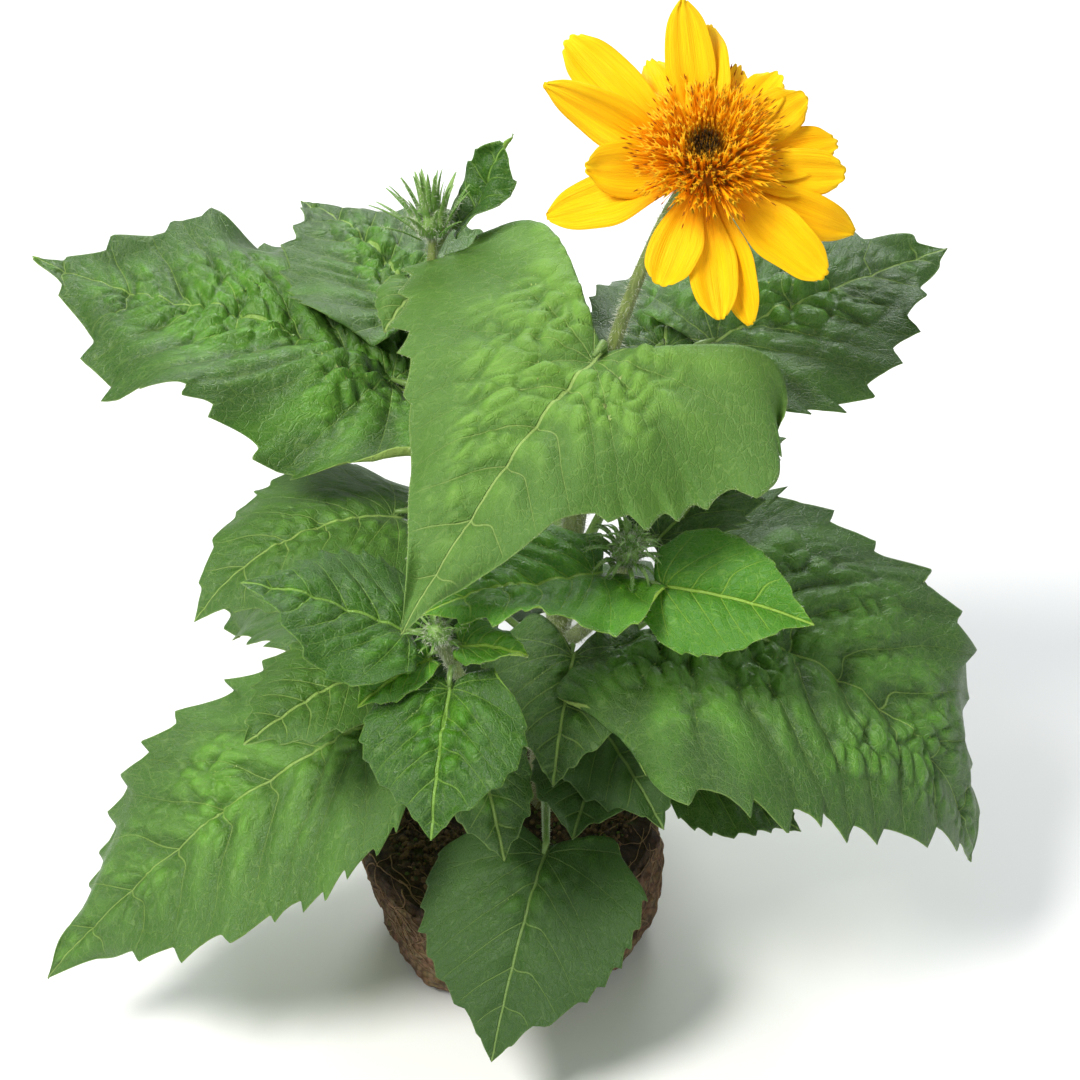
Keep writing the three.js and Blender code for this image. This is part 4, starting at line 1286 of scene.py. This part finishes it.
def head_matrix():
    centre, right, up = head_frame()
    turn = Matrix((right, up, HEAD_FACING)).transposed().to_4x4()
    return Matrix.Translation(Vector(centre * MM)) @ turn


def ray_petal(number, clock, length, width, forward, blunt, twisted):
    """One ray about the head's centre: pleated, cupped, bent and notched at its tip."""
    chance = np.random.default_rng(300 + number)
    u, v = np.meshgrid(np.linspace(0, 1, 46), np.linspace(-1, 1, 19), indexing="ij")
    root = 0.3 + 0.7 * smooth_step(0, 0.6, u)
    narrowing = np.maximum(u - 0.45, 0) / 0.55
    tip = 1 - (1 - blunt) * (0.35 * narrowing ** 2 + 0.65 * narrowing ** 4.5)
    half = width / 2 * root * tip * (1 + 0.06 * smooth_noise(np.stack([u * 4, np.sign(v)], -1), number))
    notching = chance.uniform(0.2, 1.3)
    notches = np.abs(np.sin(v * np.pi * 1.5 + chance.uniform(-0.5, 0.5))) - 1.0
    ending = notching * notches * min(width / 17, 1) - blunt * width * 0.3 * v * v
    ending = ending * smooth_step(0.72, 1, u) ** 2
    reach = RAY_ROOT + (length - RAY_ROOT) * u + ending
    pleats = 0.5 * np.cos(v * np.pi * 3.1 + chance.uniform(-0.4, 0.4)) * smooth_step(0, 0.2, u)
    pleats = pleats * (1 - 0.4 * u) - 1.1 * np.exp(-(v / 0.22) ** 2) * (1 - u)
    cup = chance.uniform(0.05, 0.36) * np.abs(v) ** 1.7 * half
    curl = chance.uniform(-0.12, 0.3) * width * smooth_step(0.7, 1.0, u) ** 1.5
    height = forward * u ** 2 + 1.6 * np.sin(np.pi * u) + pleats + cup - curl * 0.5
    height = height + 0.9 * smooth_noise(np.stack([u * 3, v * 1.2], -1), number + 40)
    sideways = half * v + chance.uniform(-2.4, 2.4) * u ** 2
    twist = chance.uniform(-0.25, 0.25) * u + twisted * smooth_step(0.1, 0.8, u)
    across = sideways * np.cos(twist) - pleats * np.sin(twist)
    height = height + sideways * np.sin(twist)
    angle = math.radians(90 - clock)
    line = np.array([math.cos(angle), math.sin(angle), 0]) * length - RAY_GATHER
    outward = unit(line)
    sidelong = np.array([-outward[1], outward[0], 0])
    reach = reach * np.linalg.norm(line) / length
    surface = RAY_GATHER + outward * reach[..., None] + sidelong * across[..., None]
    surface = surface + np.array([0, 0, 1.0]) * height[..., None]
    places, faces = thin_solid(surface, 0.4 * (0.45 + 0.55 * (1 - np.abs(v))))
    mark_one = np.stack([u, v, np.full_like(u, number)], -1).reshape(-1, 3)
    return places, faces, np.concatenate([mark_one, mark_one])


def build_rays():
    parts, marks = [], []
    chance = np.random.default_rng(77)
    short = [(clock + chance.uniform(-5, 5), chance.uniform(12, 18), chance.uniform(3.2, 5.4),
              chance.uniform(8, 13), 0.4, chance.uniform(-0.8, 0.8)) for clock in SHORT_RAYS]
    for number, ray in enumerate(RAYS + short):
        places, faces, petal_marks = ray_petal(number, *ray)
        parts.append((places, [faces]))
        marks.append(petal_marks)
    places, blocks = join_parts(parts)
    thing = make_object("ray_florets", places, blocks)
    store(thing, "ray_place", np.concatenate(marks))
    thing.data.transform(head_matrix())
    finish_piece(thing, MATERIALS["ray"], "ray", "flower_rays")


def make_disc_seat():
    """The closed dome that the florets stand on, drawn from its top down."""
    rise = np.linspace(0, np.pi / 2, 10)[1:]
    dome = [(SEAT_RADIUS * math.sin(angle), SEAT_EDGE + SEAT_DOME * math.cos(angle)) for angle in rise]
    places, (quads, ends) = lathe([*dome, (SEAT_RADIUS, SEAT_FOOT)], SEAT_SIDES)
    places[-2, 2] = SEAT_EDGE + SEAT_DOME
    seat = make_object("disc_seat", places, [quads[:, ::-1], ends[:, [0, 2, 1]]])
    for kept, value in (("copy_height", 0.1), ("copy_share", 0.2), ("copy_chance", 0.5)):
        store(seat, kept, np.full(len(places), value))
    seat.data.materials.append(MATERIALS["floret"])
    return seat


def build_disc(count):
    """The disc: a domed seat carrying several hundred florets, dark and short in its middle."""
    floret = make_floret()
    middle = whorl("disc_middle", floret, "floret", int(count * MIDDLE_SHARE), 3, (0.2, 0.22),
                   Radius=(0.0002, 0.0068), Lean=(0.0, 0.25), Size=(0.0045, 0.0085),
                   Height=(0.0045, 0.0038))
    outer = whorl("disc_outer", floret, "floret", int(count * (1 - MIDDLE_SHARE)), 5, (0.26, 0.34),
                  Radius=(0.006, 0.0132), Lean=(0.22, 1.1), Size=(0.0118, 0.0125),
                  Height=(0.0036, 0.0002))
    style = make_style()
    styles = whorl("disc_styles", style, "style", int(count * STYLE_SHARE), 9, (0.2, 0.3),
                   Radius=(0.004, 0.0128), Lean=(0.15, 1.1), Size=(0.0118, 0.0152),
                   Height=(0.003, 0.0005))
    for part, low, high in ((middle, 0.0, 0.45), (outer, 0.5, 1.0)):
        shares = np.zeros(len(part.data.vertices), np.float32)
        part.data.attributes["copy_share"].data.foreach_get("value", shares)
        part.data.attributes["copy_share"].data.foreach_set("value", low + (high - low) * shares)
    disc = merge("disc_florets", [make_disc_seat(), middle, outer, styles])
    gather = Vector(RAY_GATHER * MM * 0.5)
    lifted = Matrix.Translation(gather + Vector((0.0, DISC_LIFT, 0.0)))
    disc.data.transform(head_matrix() @ lifted @ Matrix.Rotation(DISC_TILT, 4, "X"))
    discard(floret, style)
    own_finishes(disc, "disc", "flower_disc")


def lathe(profile, sides=32):
    """A closed turned shape from (radius, height) pairs, foot first, with its ends at the axis."""
    turn = np.arange(sides) * 2 * np.pi / sides
    rings = [np.stack([radius * np.cos(turn), radius * np.sin(turn), np.full(sides, height)], -1)
             for radius, height in profile]
    places = np.concatenate([*rings, [[0, 0, profile[0][1]]], [[0, 0, profile[-1][1]]]])
    return places, ring_faces(len(rings), sides)


def build_calyx(hair):
    """The green hairy cup behind the rays with its spreading, pointed bracts."""
    cup_profile = [(2.2, -13), (4, -12.2), (8.4, -9.6), (12, -6.2), (13, -3.2), (11.5, -1.6), (6, -1.2)]
    places, blocks = lathe(cup_profile)
    cup = make_object("calyx_cup", places, blocks)
    cup.data.materials.append(MATERIALS["bract"])
    bract = make_bract("bract_shape", 0.15, 0.45, 0.22)
    bracts = whorl("calyx_bracts", bract, "bract", 34, 2, (0.18, 0.07), Radius=(0.0105, 0.0075),
                   Lean=(1.5, 2.0), Size=(0.0145, 0.0155), Height=(-0.0055, -0.0095))
    coat = scatter(cup, "calyx_coat", hair, "hair", 1.2e6, (0.001, 0.0022), 0.5, 4)
    calyx = merge("calyx", [cup, bracts, coat])
    calyx.data.transform(head_matrix())
    discard(bract)
    own_finishes(calyx, "bud", "flower_calyx")


# ---- buds ---------------------------------------------------------------------------------
@dataclass
class Bud:
    limb: str
    radius: float
    height: float
    heading: float
    rise: float
    bracts: int
    bract_length: float
    spread: float              # how far its outermost bracts lean out, radians
    curl: float


BUDS = {
    "bud_left": Bud("shoot_left", 8, 22, 100, 80, 34, 18, 0.75, 0.35),
    "bud_right": Bud("shoot_right", 7.5, 18, -30, 72, 44, 13, 1.1, 1.8),
    "bud_front": Bud("shoot_front", 6, 12, -100, 70, 22, 9, 0.8, 1.2),
}


def build_bud(name, hair):
    """A closed bud: a small ribbed body wrapped in pointed bracts that stand off it."""
    bud = BUDS[name]
    body = [(share * bud.radius * 0.72, bud.height * 0.66 * height) for share, height in
            ((0.3, 0.0), (0.78, 0.12), (1.0, 0.35), (0.92, 0.6), (0.6, 0.85), (0.2, 1.0))]
    places, blocks = lathe(body, 28)
    swell = 1 + 0.08 * np.cos(7 * np.arctan2(places[:, 1], places[:, 0]))
    core = make_object(name + "_core", places * np.stack([swell, swell, np.ones_like(swell)], -1), blocks)
    core.data.materials.append(MATERIALS["bract"])
    bract = make_bract("bract_shape", 0.09, bud.curl, 0.3)
    length = bud.bract_length * MM
    bracts = whorl(name + "_bracts", bract, "bract", bud.bracts, 11, (0.25, 0.25),
                   Radius=(bud.radius * 0.2 * MM, bud.radius * 0.66 * MM), Lean=(0.05, bud.spread),
                   Size=(length * 0.7, length), Height=(bud.height * 0.5 * MM, 0.001))
    coat = scatter(core, name + "_coat", hair, "hair", 1.6e6, (0.0008, 0.0022), 0.7, 6)
    fringe = scatter(bracts, name + "_fringe", hair, "hair", 0.8e6, (0.0008, 0.002), 0.7, 8)
    whole = merge(name + "_bloom", [core, bracts, coat, fringe])
    centres, _ = limb_rings(bud.limb)
    axis = Vector(direction(bud.heading, bud.rise))
    turn = Vector((0, 0, 1)).rotation_difference(axis).to_matrix().to_4x4()
    whole.data.transform(Matrix.Translation(Vector(centres[-1] * MM)) @ turn)
    discard(bract)
    own_finishes(whole, "bud", name)


# ---- root ball ----------------------------------------------------------------------------
BALL_CORNERS, BALL_STEP = 260, 0.95  # how finely the ball is drawn, round it and up it
ROOT_FIBRES = 150
MOSS_SHARE = 0.25                    # bits of moss to a crumb


def ball_profile():
    """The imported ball's outline as (radius, height) pairs, from under its middle to its top."""
    places = node_places("root_ball")
    radius = np.round(np.hypot(places[:, 0], places[:, 1]), 0)
    pairs = np.unique(np.stack([radius, np.round(places[:, 2], 0)], -1), axis=0)
    top = pairs[:, 1].max()
    side = [tuple(pair) for pair in pairs if pair[1] < top]
    side.sort(key=lambda pair: (pair[1], pair[0]))
    return side + sorted((tuple(pair) for pair in pairs if pair[1] == top), key=lambda pair: -pair[0])


def ball_surface(sides, step):
    """Places on the ball in rings, lumpy on its side, uneven on top and flat below."""
    outline_pairs = np.array(ball_profile())
    reach = np.concatenate([[0], np.cumsum(np.linalg.norm(np.diff(outline_pairs, axis=0), axis=1))])
    fine = np.linspace(reach[1] * 0.02, reach[-1] * 0.992, int(reach[-1] / step))
    radius = np.interp(fine, reach, outline_pairs[:, 0])
    height = np.interp(fine, reach, outline_pairs[:, 1])
    rim = np.exp(-((fine - reach[-1] + outline_pairs[:, 0].max()) / 9) ** 2)
    radius = radius - 2.2 * rim
    height = height - 2.6 * rim
    turn = np.arange(sides) * 2 * np.pi / sides
    plain = np.stack([radius[:, None] * np.cos(turn), radius[:, None] * np.sin(turn),
                      height[:, None] + 0 * turn], -1)
    normal = unit(np.cross(np.roll(plain, -1, 1) - np.roll(plain, 1, 1), np.gradient(plain, axis=0)))
    lumps = 2.6 * layered_noise(plain / 17, 3, 1) + 0.9 * layered_noise(plain / 3.6, 2, 6)
    free = smooth_step(0.5, 6.0, plain[..., 2])
    surface = plain + normal * (lumps * free - 0.4)[..., None]
    surface[..., 2] = np.maximum(surface[..., 2], 0)
    return surface, normal


def build_root_fibres(surface, normal):
    """Fine roots that wander over the side of the ball."""
    rings, sides = surface.shape[:2]
    chance = np.random.default_rng(8)
    tubes = []
    for _ in range(ROOT_FIBRES):
        row, column = chance.uniform(0.2, 0.72) * rings, chance.uniform(0, sides)
        heading = chance.uniform(0, 2 * np.pi)
        trail = []
        for _ in range(int(chance.uniform(14, 46))):
            heading += chance.uniform(-0.45, 0.45)
            row = min(max(row + 1.2 * math.sin(heading), rings * 0.16), rings * 0.8)
            column += 1.2 * math.cos(heading)
            seat = int(row), int(column) % sides
            trail.append(surface[seat] + normal[seat] * 0.25)
        trail = np.array(trail)
        smooth = (np.roll(trail, 1, 0) + trail + np.roll(trail, -1, 0)) / 3
        smooth[[0, -1]] = trail[[0, -1]]
        smooth[:, 2] = np.maximum(smooth[:, 2], 0.6)
        tubes.append(tube(smooth, np.linspace(chance.uniform(0.16, 0.42), 0.1, len(smooth)), 6))
    places, blocks = join_parts(tubes)
    finish_piece(make_object("root_fibres", places, blocks), MATERIALS["root"], "compost")


def build_root_ball(density):
    """The bare root ball: compost held by fine roots, with crumbs and moss on its top."""
    surface, normal = ball_surface(BALL_CORNERS, BALL_STEP)
    rings, sides = surface.shape[:2]
    low, high = surface[0].mean(0), surface[-1].mean(0)
    low[2] = 0.0
    places = np.concatenate([surface.reshape(-1, 3), [low], [high]])
    ball = make_object("compost", places, ring_faces(rings, sides))
    finish_piece(ball, MATERIALS["compost"], "compost", "root_ball")
    build_root_fibres(surface, normal)
    top = surface[int(rings * 0.7):]
    cover = make_object("cover", top.reshape(-1, 3), [grid_faces(len(top), sides, wrap=True)])
    crumb = make_crumb()
    bits = scatter(cover, "compost_crumbs", crumb, "crumb", density, (0.0004, 0.0019), 2.0, 21)
    moss = scatter(cover, "moss_bits", crumb, "moss", density * MOSS_SHARE, (0.0004, 0.0011), 2.0, 33)
    discard(cover, crumb)
    finish_piece(bits, MATERIALS["crumb"], "compost")
    finish_piece(moss, MATERIALS["moss"], "compost")


# ---- what a user may change ---------------------------------------------------------------
class FoliageSettings(bpy.types.PropertyGroup):
    fineness: bpy.props.FloatProperty(
        name="Fineness", description="How fine the blades' meshes are, 1 for the finished plant",
        default=1.0, min=0.3, max=1.5, subtype="FACTOR")
    hair_density: bpy.props.FloatProperty(
        name="Stalk hairs", description="Hairs to a square metre of stalk", default=7.0e5, min=0)


class BloomSettings(bpy.types.PropertyGroup):
    florets: bpy.props.IntProperty(
        name="Florets", description="How many small florets the disc holds", default=680, min=50)


class CompostSettings(bpy.types.PropertyGroup):
    crumb_density: bpy.props.FloatProperty(
        name="Crumbs", description="Crumbs to a square metre on top of the root ball",
        default=2.2e5, min=0)


class StudioSettings(bpy.types.PropertyGroup):
    floor: bpy.props.FloatVectorProperty(
        name="Floor", description="The pale floor's colour", default=(0.86, 0.86, 0.85), size=3,
        min=0, max=1, subtype="COLOR")
    focal: bpy.props.FloatProperty(
        name="Lens", description="The camera's focal length in millimetres", default=80.0,
        min=20, subtype="DISTANCE_CAMERA")
    distance: bpy.props.FloatProperty(
        name="Distance", description="From the camera to what it looks at", default=0.858,
        min=0.2, unit="LENGTH")
    pitch: bpy.props.FloatProperty(
        name="Pitch", description="How far the camera looks down", default=math.radians(35),
        subtype="ANGLE")
    roll: bpy.props.FloatProperty(
        name="Roll", description="How far the camera leans clockwise", default=math.radians(4),
        subtype="ANGLE")


# ---- operators ----------------------------------------------------------------------------
class BuildRootBall(bpy.types.Operator):
    """Build the root ball with its roots, crumbs and moss"""
    bl_idname = "sunflower.root_ball"
    bl_label = "Root ball"

    def execute(self, context):
        prepare_materials()
        build_root_ball(context.scene.sunflower_compost.crumb_density)
        return {"FINISHED"}


class BuildLimbs(bpy.types.Operator):
    """Build the stem and the shoots with their hairs"""
    bl_idname = "sunflower.limbs"
    bl_label = "Stem and shoots"

    def execute(self, context):
        prepare_materials()
        hair = make_hair()
        hair_limbs([build_limb(name) for name in LIMBS], hair)
        discard(hair)
        return {"FINISHED"}


class BuildLeaves(bpy.types.Operator):
    """Build every leaf, blade and stalk, and the hairs on the stalks"""
    bl_idname = "sunflower.leaves"
    bl_label = "Leaves"

    def execute(self, context):
        prepare_materials()
        settings = context.scene.sunflower_foliage
        fineness = settings.fineness * 1.0
        surfaces = {name: build_leaf(name, fineness) for name in LEAVES}
        hair = make_hair()
        edges = [strip for name in DOWNY_LEAVES for strip in (surfaces[name][:, :2], surfaces[name][:, -2:])]
        margins = [(strip.reshape(-1, 3), [grid_faces(len(strip), 2)]) for strip in edges]
        hair_parts(margins, "margin_hairs", "top_leaf", hair, 3.2e6, (0.0005, 0.0013), 1.5, 41)
        stalks = [leaf_stalk(leaf, blade_base(name, leaf)) for name, leaf in LEAVES.items()]
        hair_parts(stalks, "stalk_hairs", "stem", hair, settings.hair_density, (0.0004, 0.0011), 0.6, 17)
        discard(hair)
        return {"FINISHED"}


class BuildFlower(bpy.types.Operator):
    """Build the flower head: calyx, ray florets and disc florets"""
    bl_idname = "sunflower.flower"
    bl_label = "Flower head"

    def execute(self, context):
        prepare_materials()
        hair = make_hair()
        build_calyx(hair)
        discard(hair)
        build_rays()
        build_disc(context.scene.sunflower_bloom.florets)
        return {"FINISHED"}


class BuildBuds(bpy.types.Operator):
    """Build the three closed buds"""
    bl_idname = "sunflower.buds"
    bl_label = "Buds"

    def execute(self, context):
        prepare_materials()
        hair = make_hair()
        for name in BUDS:
            build_bud(name, hair)
        discard(hair)
        return {"FINISHED"}


FLOOR_HALF = 6000.0
AIM = (0.019, 0.0, 0.185)                    # what the camera and the lights point at
DAYLIGHT = 0.42
# Each light: its place, size, power and tone.
LIGHTS = {
    "Key light": ((-0.72, -0.6, 1.5), 0.6, 31, (1.0, 0.985, 0.95)),
    "Fill light": ((1.25, -0.9, 0.9), 1.2, 4, (0.93, 0.97, 1.0)),
    "Back light": ((0.25, 1.3, 1.25), 0.9, 20, (0.96, 0.98, 1.0)),
}


def add_light(name, place, size, power, tone):
    light = bpy.data.lights.new(name, "AREA")
    light.shape = "DISK"
    light.size = size
    light.energy = power
    light.color = tone
    lamp = add_object(name, light)
    lamp.location = place
    lamp.rotation_euler = (Vector(AIM) - Vector(place)).to_track_quat("-Z", "Y").to_euler()


class BuildStudio(bpy.types.Operator):
    """Set the pale floor, the soft lights and the camera"""
    bl_idname = "sunflower.studio"
    bl_label = "Studio"

    def execute(self, context):
        scene = context.scene
        settings = scene.sunflower_studio
        corners = FLOOR_HALF * np.array([[-1, -1, 0], [1, -1, 0], [1, 1, 0], [-1, 1, 0]])
        floor = make_object("floor", corners, [np.array([[0, 1, 2, 3]])], smooth=False)
        material, tree, shader = new_material("Pale floor", Roughness=0.8, Specular_IOR_Level=0.2)
        pale = (*settings.floor, 1.0)
        speck = fade(tree, noise(tree, object_place(tree), 9.0), 0.3, 0.7, 0.0, 0.03)
        tree.links.new(blend(tree, speck, pale, (0.8, 0.8, 0.8, 1)), shader["Base Color"])
        floor.data.materials.append(material)
        for name, lamp in LIGHTS.items():
            add_light(name, *lamp)
        world = bpy.data.worlds.new("Soft daylight")
        world.use_nodes = True
        background = world.node_tree.nodes["Background"].inputs
        background["Color"].default_value = (0.93, 0.96, 1.0, 1.0)
        background["Strength"].default_value = DAYLIGHT
        scene.world = world
        scene.view_settings.view_transform = "Standard"
        camera = bpy.data.cameras.new("Camera")
        camera.lens = settings.focal
        camera.sensor_width = 36.0
        eye = add_object("Camera", camera)
        back = Vector((0, -math.cos(settings.pitch), math.sin(settings.pitch)))
        eye.matrix_world = (Matrix.Translation(Vector(AIM) + back * settings.distance)
                            @ Matrix.Rotation(math.pi / 2 - settings.pitch, 4, "X")
                            @ Matrix.Rotation(-settings.roll, 4, "Z"))
        scene.camera = eye
        return {"FINISHED"}


OPERATORS = (BuildStudio, BuildRootBall, BuildLimbs, BuildLeaves, BuildFlower, BuildBuds)
SETTINGS = {"sunflower_foliage": FoliageSettings, "sunflower_bloom": BloomSettings,
            "sunflower_compost": CompostSettings, "sunflower_studio": StudioSettings}


class SunflowerPanel(bpy.types.Panel):
    bl_idname = "VIEW3D_PT_sunflower"
    bl_label = "Sunflower plant"
    bl_space_type = "VIEW_3D"
    bl_region_type = "UI"
    bl_category = "Sunflower"

    def draw(self, context):
        for key, group in SETTINGS.items():
            for name in group.__annotations__:
                self.layout.prop(getattr(context.scene, key), name)
        for operator in OPERATORS:
            self.layout.operator(operator.bl_idname)


def register():
    for entry in (*SETTINGS.values(), *OPERATORS, SunflowerPanel):
        bpy.utils.register_class(entry)
    for key, group in SETTINGS.items():
        setattr(bpy.types.Scene, key, bpy.props.PointerProperty(type=group))


def unregister():
    for key in SETTINGS:
        delattr(bpy.types.Scene, key)
    for entry in reversed((*SETTINGS.values(), *OPERATORS, SunflowerPanel)):
        bpy.utils.unregister_class(entry)


def main():
    register()
    bpy.ops.sunflower.studio()
    bpy.ops.sunflower.root_ball()
    bpy.ops.sunflower.limbs()
    bpy.ops.sunflower.leaves()
    bpy.ops.sunflower.flower()
    bpy.ops.sunflower.buds()
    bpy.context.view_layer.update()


if __name__ == "__main__":
    main()
